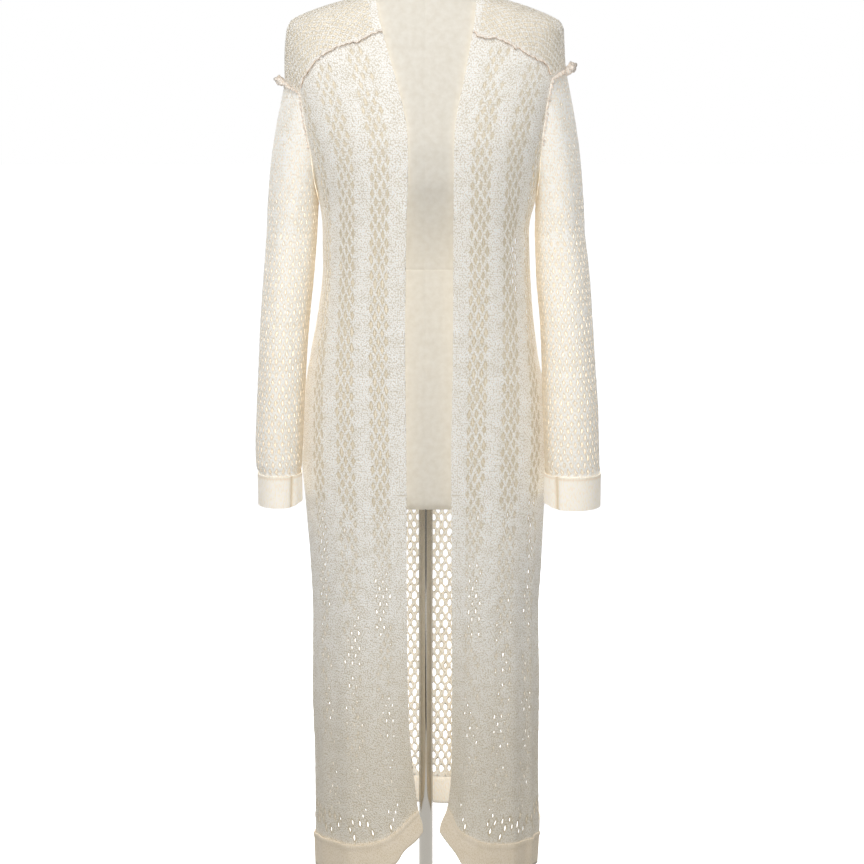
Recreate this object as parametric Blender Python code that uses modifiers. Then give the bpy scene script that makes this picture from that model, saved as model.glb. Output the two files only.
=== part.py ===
"""Open-front mesh-knit drape cardigan worn by a limbless dress form on a pole stand.

Metres, +Z up. The origin is the centre of the base plate's underside, on the pole's axis.
-Y is the front of the wearer, +X the wearer's left side.

The cloth pieces share one surface, worked out from level sections of the worn garment, and each
piece is a thin wall on it between its own seams. A turn is an angle on a level section, measured
from the front centre: 0 at -Y, 90 degrees at the side, 180 degrees at the back.
"""

import math
from collections import namedtuple

import bmesh
import bpy
from mathutils import Vector

WALL = 0.0020
SEAM_GAP = 0.0008
SIDE_SEAM_SCALE = 1.2
YOKE_SEAM_SCALE = 0.1
SECTION_POWER = 2.4
NORMAL_STEP = 0.004
SHARP_ANGLE = math.radians(50)
LEFT, RIGHT = 1, -1
SIDE_NAMES = {LEFT: "left", RIGHT: "right"}

POLE_DIAMETER = 0.0206
POLE_SIDES = 24
BASE_DIAMETER = 0.360
BASE_THICKNESS = 0.008
BASE_EDGE = 0.002
BASE_SIDES = 48
FORM_SIDES = 28
FOLD_SHARPNESS = 1.3
REST_GAP = 0.0003

FRONT_COLUMNS = 10
EDGE_CROWD = 1.5
FRONT_ROWS = 20
NECK_COLUMNS = 6
NECK_EASE = 1.5
BACK_ROWS = 20
YOKE_ROWS = 5
BAND_ROWS = 3
SLEEVE_SIDES = 20
SLEEVE_CAP_ROWS = 5
SLEEVE_ROWS = 9
CUFF_ROWS = 5
ARMHOLE_CAP_STEPS = 8
ARMHOLE_SIDE_STEPS = 24
ARMHOLE_ROLL_POINTS = 48
ARMHOLE_ROLL_SHARE = 0.62
YOKE_ROLL_POINTS = 26

UNDERARM = 1.128
NECK_SIDE = 1.409
NECK_BACK = 1.418
BACK_NECK_SHARE = 0.30
BAND_HEIGHT = 0.047

YOKE_ROLL_RADIUS = 0.0030
YOKE_ROLL_END = 0.955
ARMHOLE_ROLL_RADIUS = 0.0046
ARMHOLE_ROLL_TAPER = 0.45
YOKE_ROLL_CLEARANCE = 0.0003
ARMHOLE_ROLL_CLEARANCE = 0.0007
ROLL_WAVE = 0.0010
ROLL_WAVES = 6
SLEEVE_ROOT_LIFT = 0.0014
SLEEVE_ROOT_INSET = 0.0008
SLEEVE_HEAD_FULLNESS = 0.006
RIDGE_OUT = 0.0016
RIDGE_SHARE = 0.12

# Level sections of the worn garment's outer face, from the neck to the hem: how far it reaches
# to the wearer's right and left, to the front and to the back.
Section = namedtuple("Section", "height right left front back")
GARMENT = [
    Section(1.430, 0.0640, 0.0640, 0.0500, 0.0510),
    Section(1.418, 0.0710, 0.0710, 0.0540, 0.0560),
    Section(1.409, 0.0780, 0.0780, 0.0575, 0.0600),
    Section(1.400, 0.1200, 0.1200, 0.0620, 0.0660),
    Section(1.383, 0.1700, 0.1680, 0.0740, 0.0790),
    Section(1.374, 0.1860, 0.1850, 0.0800, 0.0840),
    Section(1.362, 0.1915, 0.1910, 0.0860, 0.0890),
    Section(1.333, 0.1945, 0.1925, 0.0970, 0.0970),
    Section(1.305, 0.1950, 0.1940, 0.1070, 0.1020),
    Section(1.250, 0.1850, 0.1820, 0.1220, 0.1100),
    Section(1.200, 0.1690, 0.1700, 0.1300, 0.1110),
    Section(1.160, 0.1570, 0.1600, 0.1295, 0.1080),
    Section(1.128, 0.1480, 0.1530, 0.1280, 0.1050),
    Section(1.090, 0.1440, 0.1450, 0.1270, 0.1020),
    Section(1.040, 0.1440, 0.1465, 0.1270, 0.1000),
    Section(0.976, 0.1510, 0.1510, 0.1290, 0.1040),
    Section(0.919, 0.1620, 0.1580, 0.1310, 0.1110),
    Section(0.845, 0.1735, 0.1710, 0.1340, 0.1200),
    Section(0.770, 0.1765, 0.1755, 0.1365, 0.1230),
    Section(0.700, 0.1715, 0.1700, 0.1380, 0.1230),
    Section(0.620, 0.1655, 0.1655, 0.1395, 0.1220),
    Section(0.540, 0.1620, 0.1605, 0.1410, 0.1220),
    Section(0.430, 0.1625, 0.1625, 0.1440, 0.1230),
    Section(0.320, 0.1600, 0.1620, 0.1470, 0.1250),
    Section(0.220, 0.1600, 0.1640, 0.1500, 0.1280),
    Section(0.140, 0.1580, 0.1600, 0.1510, 0.1300),
]

# Level sections of the dress form.
Ring = namedtuple("Ring", "height side front back")
FORM = [
    Ring(1.500, 0.0480, 0.0440, 0.0400),
    Ring(1.496, 0.0520, 0.0475, 0.0435),
    Ring(1.460, 0.0530, 0.0480, 0.0460),
    Ring(1.432, 0.0550, 0.0450, 0.0460),
    Ring(1.414, 0.0630, 0.0460, 0.0470),
    Ring(1.405, 0.0760, 0.0500, 0.0520),
    Ring(1.395, 0.1180, 0.0550, 0.0590),
    Ring(1.387, 0.1430, 0.0610, 0.0660),
    Ring(1.378, 0.1650, 0.0670, 0.0720),
    Ring(1.369, 0.1790, 0.0730, 0.0770),
    Ring(1.355, 0.1860, 0.0810, 0.0840),
    Ring(1.325, 0.1850, 0.0930, 0.0920),
    Ring(1.290, 0.1790, 0.1050, 0.0980),
    Ring(1.245, 0.1650, 0.1170, 0.1030),
    Ring(1.200, 0.1500, 0.1250, 0.1010),
    Ring(1.165, 0.1420, 0.1230, 0.0960),
    Ring(1.120, 0.1350, 0.1100, 0.0860),
    Ring(1.075, 0.1230, 0.0970, 0.0750),
    Ring(1.040, 0.1180, 0.0920, 0.0700),
    Ring(1.000, 0.1240, 0.0950, 0.0760),
    Ring(0.940, 0.1420, 0.1010, 0.0920),
    Ring(0.880, 0.1570, 0.1070, 0.1060),
    Ring(0.820, 0.1660, 0.1110, 0.1130),
    Ring(0.760, 0.1700, 0.1130, 0.1140),
    Ring(0.733, 0.1685, 0.1130, 0.1120),
    Ring(0.718, 0.1620, 0.1115, 0.1060),
    Ring(0.710, 0.1440, 0.1060, 0.0940),
]

# The two front edges: how far each lies from the middle, to the wearer's right and left.
Edge = namedtuple("Edge", "height right left")
FRONT_EDGE = [
    Edge(1.409, 0.0760, 0.0760),
    Edge(1.399, 0.0670, 0.0685),
    Edge(1.368, 0.0600, 0.0655),
    Edge(1.345, 0.0535, 0.0610),
    Edge(1.314, 0.0445, 0.0555),
    Edge(1.284, 0.0360, 0.0495),
    Edge(1.251, 0.0280, 0.0425),
    Edge(1.223, 0.0235, 0.0390),
    Edge(1.181, 0.0227, 0.0380),
    Edge(1.084, 0.0257, 0.0380),
    Edge(0.936, 0.0273, 0.0374),
    Edge(0.780, 0.0258, 0.0352),
    Edge(0.620, 0.0256, 0.0365),
    Edge(0.450, 0.0241, 0.0368),
    Edge(0.373, 0.0200, 0.0366),
    Edge(0.326, 0.0146, 0.0350),
    Edge(0.293, 0.0105, 0.0300),
    Edge(0.264, 0.0035, 0.0200),
    Edge(0.240, 0.0030, 0.0190),
]

# Where the armhole crosses each level: the turn in front, and the turn from the back centre.
Armhole = namedtuple("Armhole", "height front back")
ARMHOLE = [
    Armhole(1.400, 60.0, 66.0),
    Armhole(1.285, 60.0, 66.0),
    Armhole(1.250, 61.5, 65.0),
    Armhole(1.200, 66.5, 67.0),
    Armhole(1.165, 74.5, 74.0),
    Armhole(1.142, 82.0, 82.0),
    Armhole(1.128, 90.0, 90.0),
    Armhole(0.100, 90.0, 90.0),
]
ARMHOLE_TOP = {RIGHT: 1.290, LEFT: 1.306}

# Seams by share of the way from the front edge, or the back middle, to the side or the armhole:
# the height on the wearer's right and left.
Seam = namedtuple("Seam", "share right left")
FRONT_YOKE_SEAM = [
    Seam(0.00, 1.3580, 1.3580),
    Seam(0.10, 1.3540, 1.3510),
    Seam(0.26, 1.3440, 1.3490),
    Seam(0.38, 1.3405, 1.3430),
    Seam(0.47, 1.3365, 1.3370),
    Seam(0.65, 1.3240, 1.3265),
    Seam(0.86, 1.3000, 1.3160),
    Seam(1.00, 1.2750, 1.2940),
]
BACK_YOKE_SEAM = [
    Seam(0.00, 1.3320, 1.3320),
    Seam(0.30, 1.3280, 1.3280),
    Seam(0.60, 1.3170, 1.3190),
    Seam(1.00, 1.2780, 1.2920),
]
FRONT_BAND_SEAM = [
    Seam(0.00, 0.2900, 0.2960),
    Seam(0.05, 0.2770, 0.2800),
    Seam(0.11, 0.2600, 0.2590),
    Seam(0.17, 0.2480, 0.2490),
    Seam(0.26, 0.2380, 0.2380),
    Seam(0.40, 0.2310, 0.2310),
    Seam(0.64, 0.2260, 0.2240),
    Seam(1.00, 0.2100, 0.2130),
]
FRONT_HEM = [
    Seam(0.00, 0.2590, 0.2600),
    Seam(0.02, 0.2480, 0.2510),
    Seam(0.08, 0.2300, 0.2280),
    Seam(0.12, 0.2120, 0.2100),
    Seam(0.21, 0.1970, 0.1950),
    Seam(0.35, 0.1840, 0.1835),
    Seam(0.60, 0.1770, 0.1780),
    Seam(1.00, 0.1630, 0.1660),
]
BACK_BAND_SEAM = [Seam(0.00, 0.2440, 0.2440), Seam(0.60, 0.2300, 0.2310), Seam(1.00, 0.2100, 0.2130)]

# The top of each shoulder, by share of the way from the neck to the armhole, and the height.
Ridge = namedtuple("Ridge", "share right left")
SHOULDER = [
    Ridge(0.0, NECK_SIDE, NECK_SIDE),
    Ridge(0.2, 1.4010, 1.4010),
    Ridge(0.4, 1.3900, 1.3900),
    Ridge(0.6, 1.3760, 1.3770),
    Ridge(0.8, 1.3380, 1.3460),
    Ridge(1.0, ARMHOLE_TOP[RIGHT], ARMHOLE_TOP[LEFT]),
]

# Soft vertical folds: the turn towards the wearer's left, degrees to either side, how far out,
# the height where each starts and the height where it is full.
Fold = namedtuple("Fold", "turn spread out start full")
FOLDS = [
    Fold(-62.0, 9.0, 0.0030, 0.78, 0.45),
    Fold(-78.0, 6.0, 0.0035, 0.74, 0.40),
    Fold(-104.0, 8.0, 0.0070, 0.74, 0.35),
    Fold(-128.0, 9.0, 0.0090, 0.78, 0.35),
    Fold(-151.0, 8.0, 0.0060, 0.70, 0.30),
    Fold(-172.0, 9.0, 0.0080, 0.74, 0.35),
    Fold(166.0, 8.0, 0.0065, 0.72, 0.30),
    Fold(144.0, 9.0, 0.0090, 0.76, 0.35),
    Fold(121.0, 8.0, 0.0070, 0.74, 0.30),
    Fold(99.0, 6.0, 0.0060, 0.76, 0.45),
    Fold(79.0, 5.0, 0.0040, 0.76, 0.50),
    Fold(64.0, 5.0, 0.0040, 0.80, 0.50),
    Fold(46.0, 8.0, 0.0025, 0.70, 0.40),
    Fold(-38.0, 9.0, 0.0025, 0.66, 0.35),
]

# Hanging sleeves: the outer and inner reach from the middle, how far forward of it the tube's
# centre hangs, and half its depth from front to back.
Sleeve = namedtuple("Sleeve", "height outer inner forward depth")
SLEEVES = {
    RIGHT: [
        Sleeve(1.085, 0.2215, 0.1500, 0.014, 0.056),
        Sleeve(1.020, 0.2260, 0.1550, 0.028, 0.053),
        Sleeve(0.960, 0.2300, 0.1610, 0.040, 0.051),
        Sleeve(0.900, 0.2325, 0.1650, 0.051, 0.049),
        Sleeve(0.845, 0.2350, 0.1680, 0.059, 0.047),
        Sleeve(0.790, 0.2370, 0.1705, 0.065, 0.045),
        Sleeve(0.752, 0.2358, 0.1725, 0.068, 0.043),
    ],
    LEFT: [
        Sleeve(1.085, 0.2220, 0.1515, 0.016, 0.056),
        Sleeve(1.020, 0.2290, 0.1535, 0.032, 0.054),
        Sleeve(0.960, 0.2325, 0.1585, 0.047, 0.052),
        Sleeve(0.900, 0.2360, 0.1605, 0.060, 0.050),
        Sleeve(0.845, 0.2395, 0.1620, 0.071, 0.048),
        Sleeve(0.790, 0.2410, 0.1640, 0.079, 0.046),
        Sleeve(0.755, 0.2420, 0.1655, 0.082, 0.044),
    ],
}
Cuff = namedtuple("Cuff", "top bottom outer inner forward depth")
CUFFS = {
    RIGHT: Cuff(0.7560, 0.7120, 0.2320, 0.1735, 0.069, 0.040),
    LEFT: Cuff(0.7580, 0.7120, 0.2415, 0.1660, 0.083, 0.042),
}

ECRU = (0.82, 0.76, 0.66)
LINEN = (0.78, 0.74, 0.66)
STEEL = (0.62, 0.62, 0.62)


def on_curve(rows, column, wanted):
    """A column's value where the rows' first column is wanted, on a smooth curve through them."""
    rows = sorted(rows, key=lambda row: row[0])
    places = [row[0] for row in rows]
    values = [getattr(row, column) for row in rows]
    if wanted <= places[0]:
        return values[0]
    if wanted >= places[-1]:
        return values[-1]
    slopes = [
        (values[k + 1] - values[k]) / (places[k + 1] - places[k]) for k in range(len(rows) - 1)
    ]
    i = max(k for k in range(len(slopes)) if places[k] <= wanted)

    def tangent(k):
        """The slope at row k, level where the curve turns, so that it never overshoots a row."""
        if k in (0, len(slopes)):
            return slopes[min(k, len(slopes) - 1)]
        before, after = slopes[k - 1], slopes[k]
        return 2 * before * after / (before + after) if before * after > 0 else 0.0

    width = places[i + 1] - places[i]
    t = (wanted - places[i]) / width
    return (
        values[i] * (1 + 2 * t) * (1 - t) ** 2
        + values[i + 1] * t * t * (3 - 2 * t)
        + tangent(i) * width * t * (1 - t) ** 2
        - tangent(i + 1) * width * t * t * (1 - t)
    )


def power(value, exponent):
    """A signed power, for sections rounder than a box and squarer than an ellipse."""
    return math.copysign(abs(value) ** exponent, value)


def eased(share):
    """A share from 0 to 1 with level ends."""
    share = min(1.0, max(0.0, share))
    return share * share * (3 - 2 * share)


def blend(start, end, share):
    """A value or point part of the way from one to another."""
    return start + (end - start) * share


def steps(start, end, count, crowd=1.0):
    """Spaced values, both ends included, evenly or crowded towards the start."""
    return [blend(start, end, (i / count) ** crowd) for i in range(count + 1)]


def on_section(turn, side, deep, height):
    """The point of a level section at a turn."""
    across = side * power(math.sin(turn), 2 / SECTION_POWER)
    return Vector((across, -deep * power(math.cos(turn), 2 / SECTION_POWER), height))


def reach(height, side):
    """How far the garment reaches sideways at a height."""
    return on_curve(GARMENT, SIDE_NAMES[side], height)


def fold_out(turn, height):
    """How far the folds push the cloth out at a place."""
    out = 0.0
    for fold in FOLDS:
        away = (math.degrees(turn) - fold.turn + 180.0) % 360.0 - 180.0
        grown = eased((fold.start - height) / (fold.start - fold.full))
        out += fold.out * grown * math.exp(-((FOLD_SHARPNESS * away / fold.spread) ** 2))
    return out


def worn(turn, height):
    """The point of the garment's outer face at a turn and height."""
    sine, cosine = math.sin(turn), math.cos(turn)
    side = reach(height, LEFT if sine >= 0 else RIGHT)
    deep = on_curve(GARMENT, "front" if cosine >= 0 else "back", height)
    level_out = Vector((sine / side, -cosine / deep, 0.0)).normalized()
    return on_section(turn, side, deep, height) + level_out * fold_out(turn, height)


def outward(turn, height):
    """The direction straight out of the worn cloth."""
    up = worn(turn, height + NORMAL_STEP) - worn(turn, height - NORMAL_STEP)
    along = worn(turn + NORMAL_STEP, height) - worn(turn - NORMAL_STEP, height)
    return along.cross(up).normalized()


def turn_of(reach_wanted, height, side):
    """The turn, short of the side, at which the section reaches this far sideways."""
    share = min(1.0, reach_wanted / reach(height, side))
    return math.asin(share ** (SECTION_POWER / 2))


def front_place(share, height, side):
    """Turn and height on a front, by share of its width from the front edge to the side."""
    start = turn_of(on_curve(FRONT_EDGE, SIDE_NAMES[side], height), height, side)
    end = math.radians(on_curve(ARMHOLE, "front", height))
    return side * blend(start, end, share), height


def back_place(share, height):
    """Turn and height on the back, by share of its half width, -1 on the right to 1 on the left."""
    half = math.radians(on_curve(ARMHOLE, "back", height))
    return math.pi - share * half, height


def back_level(seam, share):
    """The height of a seam of the back at a share of its half width."""
    return on_curve(seam, SIDE_NAMES[LEFT if share >= 0 else RIGHT], abs(share))


def front_yoke_place(share, side):
    """Turn and height along the seam of the yoke and a front."""
    return front_place(share, on_curve(FRONT_YOKE_SEAM, SIDE_NAMES[side], share), side)


def back_yoke_place(share):
    """Turn and height along the seam of the yoke and the back."""
    return back_place(share, back_level(BACK_YOKE_SEAM, share))


def neckline_bow(along, side):
    """How far the neckline over the front of the shoulder lies off a straight line."""
    low = front_yoke_place(0.0, side)[1]
    column = SIDE_NAMES[side]
    level = blend(NECK_SIDE, low, along * along)
    ends = reach(NECK_SIDE, side), on_curve(FRONT_EDGE, column, low)
    return on_curve(FRONT_EDGE, column, level) - blend(*ends, abs(along))


def shoulder_place(share, along, side):
    """Turn and height on the yoke's shoulder: share from the neck to the armhole, and along from
    -1 at the front seam through 0 at the top of the shoulder to 1 at the back seam."""
    top = on_curve(SHOULDER, SIDE_NAMES[side], share)
    if along <= 0:
        turn, height = front_yoke_place(share, side)
    else:
        turn, height = back_yoke_place(side * blend(BACK_NECK_SHARE, 1.0, share))
    drop = abs(along) ** (2 - share)
    level = blend(top, height, drop)
    across = blend(reach(top, side), abs(worn(turn, height).x), abs(along))
    if along < 0:
        across += neckline_bow(along, side) * (1 - share) ** 2
    turned = turn_of(across, level, side)
    return side * (turned if along <= 0 else math.pi - turned), level


def neck_place(share, along):
    """Turn and height on the yoke behind the neck: share from -1 on the right to 1 on the left,
    and along from 0 at the neck edge to 1 at the back seam."""
    side = LEFT if share >= 0 else RIGHT
    turn, height = back_yoke_place(share * BACK_NECK_SHARE)
    top = blend(NECK_BACK, NECK_SIDE, share * share)
    neck_reach = reach(NECK_SIDE, side) * math.sin(math.pi / 2 * abs(share))
    level = blend(top, height, along**NECK_EASE)
    across = blend(neck_reach, abs(worn(turn, height).x), along)
    return side * (math.pi - turn_of(across, level, side)), level


def on_cloth(place):
    """The outer and inner point of the wall at a turn and height."""
    outer = worn(*place)
    return outer, outer - outward(*place) * WALL


def new_object(name, data, colour, roughness, metallic=0.0):
    """An object in the cardigan's collection, with its own finish."""
    made = bpy.data.objects.new(name, data)
    parts.objects.link(made)
    finish = bpy.data.materials.new(name + "_finish")
    finish.use_nodes = True
    shader = finish.node_tree.nodes["Principled BSDF"]
    shader.inputs["Base Color"].default_value = (*colour, 1.0)
    shader.inputs["Roughness"].default_value = roughness
    shader.inputs["Metallic"].default_value = metallic
    data.materials.append(finish)
    return made


def mesh_of(name, shape, smooth=True):
    """A mesh from a bmesh, facing out."""
    bmesh.ops.recalc_face_normals(shape, faces=shape.faces)
    mesh = bpy.data.meshes.new(name)
    shape.to_mesh(mesh)
    shape.free()
    if smooth:
        mesh.shade_smooth()
        mesh.set_sharp_from_angle(angle=SHARP_ANGLE)
    return mesh


def wall(name, points, cells):
    """A closed wall of cloth: points holds the outer and inner point of each corner by its key,
    and cells the four corners of each patch. Its rims close the wall along every free edge."""
    shape = bmesh.new()
    outer = {key: shape.verts.new(pair[0]) for key, pair in points.items()}
    inner = {key: shape.verts.new(pair[1]) for key, pair in points.items()}
    sides = set()
    for cell in cells:
        shape.faces.new([outer[key] for key in cell])
        shape.faces.new([inner[key] for key in reversed(cell)])
        sides.update(zip(cell, cell[1:] + cell[:1]))
    for a, b in sorted(sides):
        if (b, a) not in sides:
            shape.faces.new((outer[b], outer[a], inner[a], inner[b]))
    return new_object(name, mesh_of(name, shape), ECRU, 0.9)


def panel_cells(rows, columns):
    """The patches of a grid of this many rows and columns."""
    return [
        ((r, c), (r, c + 1), (r + 1, c + 1), (r + 1, c)) for r in range(rows) for c in range(columns)
    ]


def inset(share):
    """Keeps a share half a seam's gap off the side seam."""
    most = 1.0 - SEAM_GAP / SIDE_SEAM_SCALE
    return min(most, max(-most, share))


def make_front(side):
    """A front, from the yoke seam to the hem band."""
    points = {}
    for c, share in enumerate(steps(0.0, 1.0, FRONT_COLUMNS, EDGE_CROWD)):
        top = front_yoke_place(share, side)[1] - SEAM_GAP / 2
        bottom = on_curve(FRONT_BAND_SEAM, SIDE_NAMES[side], share) + SEAM_GAP / 2
        for r, height in enumerate(steps(top, bottom, FRONT_ROWS)):
            points[(r, c)] = on_cloth(front_place(inset(share), height, side))
    wall(f"front_{SIDE_NAMES[side]}", points, panel_cells(FRONT_ROWS, FRONT_COLUMNS))


def back_shares():
    """Shares of the back's half width at the columns that it shares with the yoke."""
    shoulder = steps(BACK_NECK_SHARE, 1.0, FRONT_COLUMNS, EDGE_CROWD)
    neck = steps(-BACK_NECK_SHARE, BACK_NECK_SHARE, NECK_COLUMNS)
    return [-share for share in reversed(shoulder)] + neck[1:-1] + shoulder


def make_back():
    """The back, from the yoke seam to the hem band."""
    points = {}
    shares = back_shares()
    for c, share in enumerate(shares):
        top = back_yoke_place(share)[1] - SEAM_GAP / 2
        bottom = back_level(BACK_BAND_SEAM, share) + SEAM_GAP / 2
        for r, height in enumerate(steps(top, bottom, BACK_ROWS)):
            points[(r, c)] = on_cloth(back_place(inset(share), height))
    wall("back", points, panel_cells(BACK_ROWS, len(shares) - 1))


def make_yoke():
    """The yoke: both shoulders in one piece with the strip behind the neck. Its columns run from
    the right armhole to the left one, and its rows from the front seam over to the back seam."""
    points, cells = {}, []
    short = 1.0 - SEAM_GAP / YOKE_SEAM_SCALE
    half = NECK_COLUMNS // 2
    last = half + FRONT_COLUMNS
    for side in (RIGHT, LEFT):
        for c, share in enumerate(steps(0.0, short, FRONT_COLUMNS, EDGE_CROWD)):
            for r, along in enumerate(steps(-short, short, 2 * YOKE_ROWS)):
                points[(r, side * (half + c))] = on_cloth(shoulder_place(share, along, side))
    for c in range(1 - half, half):
        for r, along in enumerate(steps(0.0, short, YOKE_ROWS)):
            points[(YOKE_ROWS + r, c)] = on_cloth(neck_place(c / half, along))
    for r in range(2 * YOKE_ROWS):
        for c in range(-last, last):
            if r >= YOKE_ROWS or not -half <= c < half:
                cells.append(((r, c), (r, c + 1), (r + 1, c + 1), (r + 1, c)))
    wall("yoke", points, cells)


def make_band(name, place_of, levels_of, shares):
    """A hem band below a panel, with a raised ridge along its seam. place_of gives turn and height
    from share and height, and levels_of the band's top and bottom at a share."""
    points = {}
    for c, share in enumerate(shares):
        top, bottom = levels_of(share)
        below = [0.0, RIDGE_SHARE / 2, RIDGE_SHARE] + steps(0.0, 1.0, BAND_ROWS)[1:]
        for r, along in enumerate(below):
            place = place_of(inset(share), blend(top - SEAM_GAP / 2, bottom, along))
            outer, inner = on_cloth(place)
            if r == 1:
                outer += (outer - inner).normalized() * RIDGE_OUT
            points[(r, c)] = (outer, inner)
    wall(name, points, panel_cells(BAND_ROWS + 2, len(shares) - 1))


def make_front_band(side):
    """The hem band of a front, whose lower front corner is round."""
    name = SIDE_NAMES[side]

    def levels(share):
        return on_curve(FRONT_BAND_SEAM, name, share), on_curve(FRONT_HEM, name, share)

    def place(share, height):
        return front_place(share, height, side)

    shares = steps(0.0, 1.0, FRONT_COLUMNS, EDGE_CROWD)
    make_band(f"hem_band_front_{name}", place, levels, shares)


def make_back_band():
    """The hem band of the back."""

    def levels(share):
        top = back_level(BACK_BAND_SEAM, share)
        return top, top - BAND_HEIGHT

    make_band("hem_band_back", back_place, levels, back_shares())


def armhole_half(side, along):
    """Places down one half of an armhole, from its top to the underarm: along is -1 in front and
    1 behind."""
    places = [shoulder_place(1.0, along * t, side) for t in steps(0.0, 1.0, ARMHOLE_CAP_STEPS)]
    column = "front" if along < 0 else "back"
    for height in steps(places[-1][1], UNDERARM, ARMHOLE_SIDE_STEPS)[1:]:
        turn = math.radians(on_curve(ARMHOLE, column, height))
        places.append((side * (turn if along < 0 else math.pi - turn), height))
    return places


def armhole(side, count):
    """Points, outward directions and directions onto the body, evenly round an armhole, from its
    top down the front and up the back."""
    places = armhole_half(side, -1) + armhole_half(side, 1)[-2:0:-1]
    line = [worn(*place) for place in places]
    lengths = [0.0]
    for a, b in zip(line, line[1:] + line[:1]):
        lengths.append(lengths[-1] + (b - a).length)
    found = []
    for k in range(count):
        wanted = lengths[-1] * k / count
        i = max(n for n in range(len(line)) if lengths[n] <= wanted)
        share = (wanted - lengths[i]) / (lengths[i + 1] - lengths[i])
        after = (i + 1) % len(line)
        point = line[i].lerp(line[after], share)
        out = outward(*places[i]).lerp(outward(*places[after]), share).normalized()
        onto = (line[after] - line[i]).cross(out).normalized() * side
        found.append((point, out, onto))
    return found


def sleeve_ring(side, height, turn):
    """The point of a sleeve's outer face: turn 0 is away from the body, a quarter is in front."""
    rows = SLEEVES[side]
    outer, inner, forward, depth = (on_curve(rows, c, height) for c in rows[0]._fields[1:])
    across = blend(inner, outer, 0.5 + 0.5 * math.cos(turn))
    return Vector((side * across, -forward - depth * math.sin(turn), height))


def tube(name, rings):
    """A sleeve-like wall through closed rings of outer points, from the top down."""
    count = len(rings[0])
    points = {}
    for r, ring in enumerate(rings):
        above, below = rings[max(r - 1, 0)], rings[min(r + 1, len(rings) - 1)]
        for c in range(count):
            around = ring[(c + 1) % count] - ring[c - 1]
            out = around.cross(above[c] - below[c]).normalized()
            centre = sum(ring, Vector()) / count
            out *= math.copysign(1.0, out.dot(ring[c] - centre))
            points[(r, c)] = (ring[c], ring[c] - out * WALL)
    cells = [
        ((r, c), (r, (c + 1) % count), (r + 1, (c + 1) % count), (r + 1, c))
        for r in range(len(rings) - 1)
        for c in range(count)
    ]
    wall(name, points, cells)


def make_sleeve(side):
    """A hanging sleeve, from the armhole down to the cuff."""
    turns = [2 * math.pi * k / SLEEVE_SIDES for k in range(SLEEVE_SIDES)]
    full, low = SLEEVES[side][0].height, CUFFS[side].top + SEAM_GAP
    root = [
        point + out * SLEEVE_ROOT_LIFT - onto * SLEEVE_ROOT_INSET
        for point, out, onto in armhole(side, SLEEVE_SIDES)
    ]
    rings = []
    for t in steps(0.0, 1.0, SLEEVE_CAP_ROWS)[:-1]:
        ring = []
        for start, turn in zip(root, turns):
            head = SLEEVE_HEAD_FULLNESS * math.sin(math.pi * t) * (1 + math.cos(turn)) / 2
            ring.append(blend(start, sleeve_ring(side, full, turn), t) + Vector((side * head, 0, 0)))
        rings.append(ring)
    for height in steps(full, low, SLEEVE_ROWS):
        rings.append([sleeve_ring(side, height, turn) for turn in turns])
    tube(f"sleeve_{SIDE_NAMES[side]}", rings)


def make_cuff(side):
    """A plain cuff with a raised ridge along its seam."""
    cuff = CUFFS[side]
    ridge = cuff.top - RIDGE_SHARE * BAND_HEIGHT
    levels = [(cuff.top, 0.0), (blend(cuff.top, ridge, 0.5), RIDGE_OUT)]
    levels += [(height, 0.0) for height in steps(ridge, cuff.bottom, CUFF_ROWS)]
    middle, half = (cuff.outer + cuff.inner) / 2, (cuff.outer - cuff.inner) / 2
    rings = []
    for height, out in levels:
        ring = []
        for k in range(SLEEVE_SIDES):
            turn = 2 * math.pi * k / SLEEVE_SIDES
            across = side * (middle + (half + out) * math.cos(turn))
            ring.append(Vector((across, -cuff.forward - (cuff.depth + out) * math.sin(turn), height)))
        rings.append(ring)
    tube(f"cuff_{SIDE_NAMES[side]}", rings)


def roll(name, path, radius, thins=0.0):
    """A curled seam edge: a soft tube through the path's points, which thins towards its ends."""
    curve = bpy.data.curves.new(name, "CURVE")
    curve.dimensions = "3D"
    curve.bevel_depth = radius
    curve.bevel_resolution = 1
    curve.use_fill_caps = True
    spline = curve.splines.new("POLY")
    spline.points.add(len(path) - 1)
    for k, place in enumerate(path):
        spline.points[k].co = (*place, 1.0)
        spline.points[k].radius = 1.0 - thins * abs(2 * k / (len(path) - 1) - 1.0)
    new_object(name, curve, ECRU, 0.9)


def wave(share):
    """How far a curled edge wanders from its line, at a share of its length."""
    return ROLL_WAVE * math.sin(2 * math.pi * ROLL_WAVES * share) * math.sin(math.pi * share)


def make_yoke_rolls():
    """The curled edges along the yoke's seams, two in front and one behind. They lie on the
    fronts and the back, just below the seam."""
    lift = YOKE_ROLL_RADIUS + YOKE_ROLL_CLEARANCE
    for side in (RIGHT, LEFT):
        path = []
        for share in steps(0.0, YOKE_ROLL_END, YOKE_ROLL_POINTS):
            turn, height = front_yoke_place(share, side)
            place = (turn, height - YOKE_ROLL_RADIUS / 2 + wave(share))
            path.append(worn(*place) + outward(*place) * lift)
        roll(f"yoke_roll_front_{SIDE_NAMES[side]}", path, YOKE_ROLL_RADIUS)
    path = []
    for share in steps(-YOKE_ROLL_END, YOKE_ROLL_END, 2 * YOKE_ROLL_POINTS):
        turn, height = back_yoke_place(share)
        place = (turn, height - YOKE_ROLL_RADIUS / 2 + wave((share + 1) / 2))
        path.append(worn(*place) + outward(*place) * lift)
    roll("yoke_roll_back", path, YOKE_ROLL_RADIUS)


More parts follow.
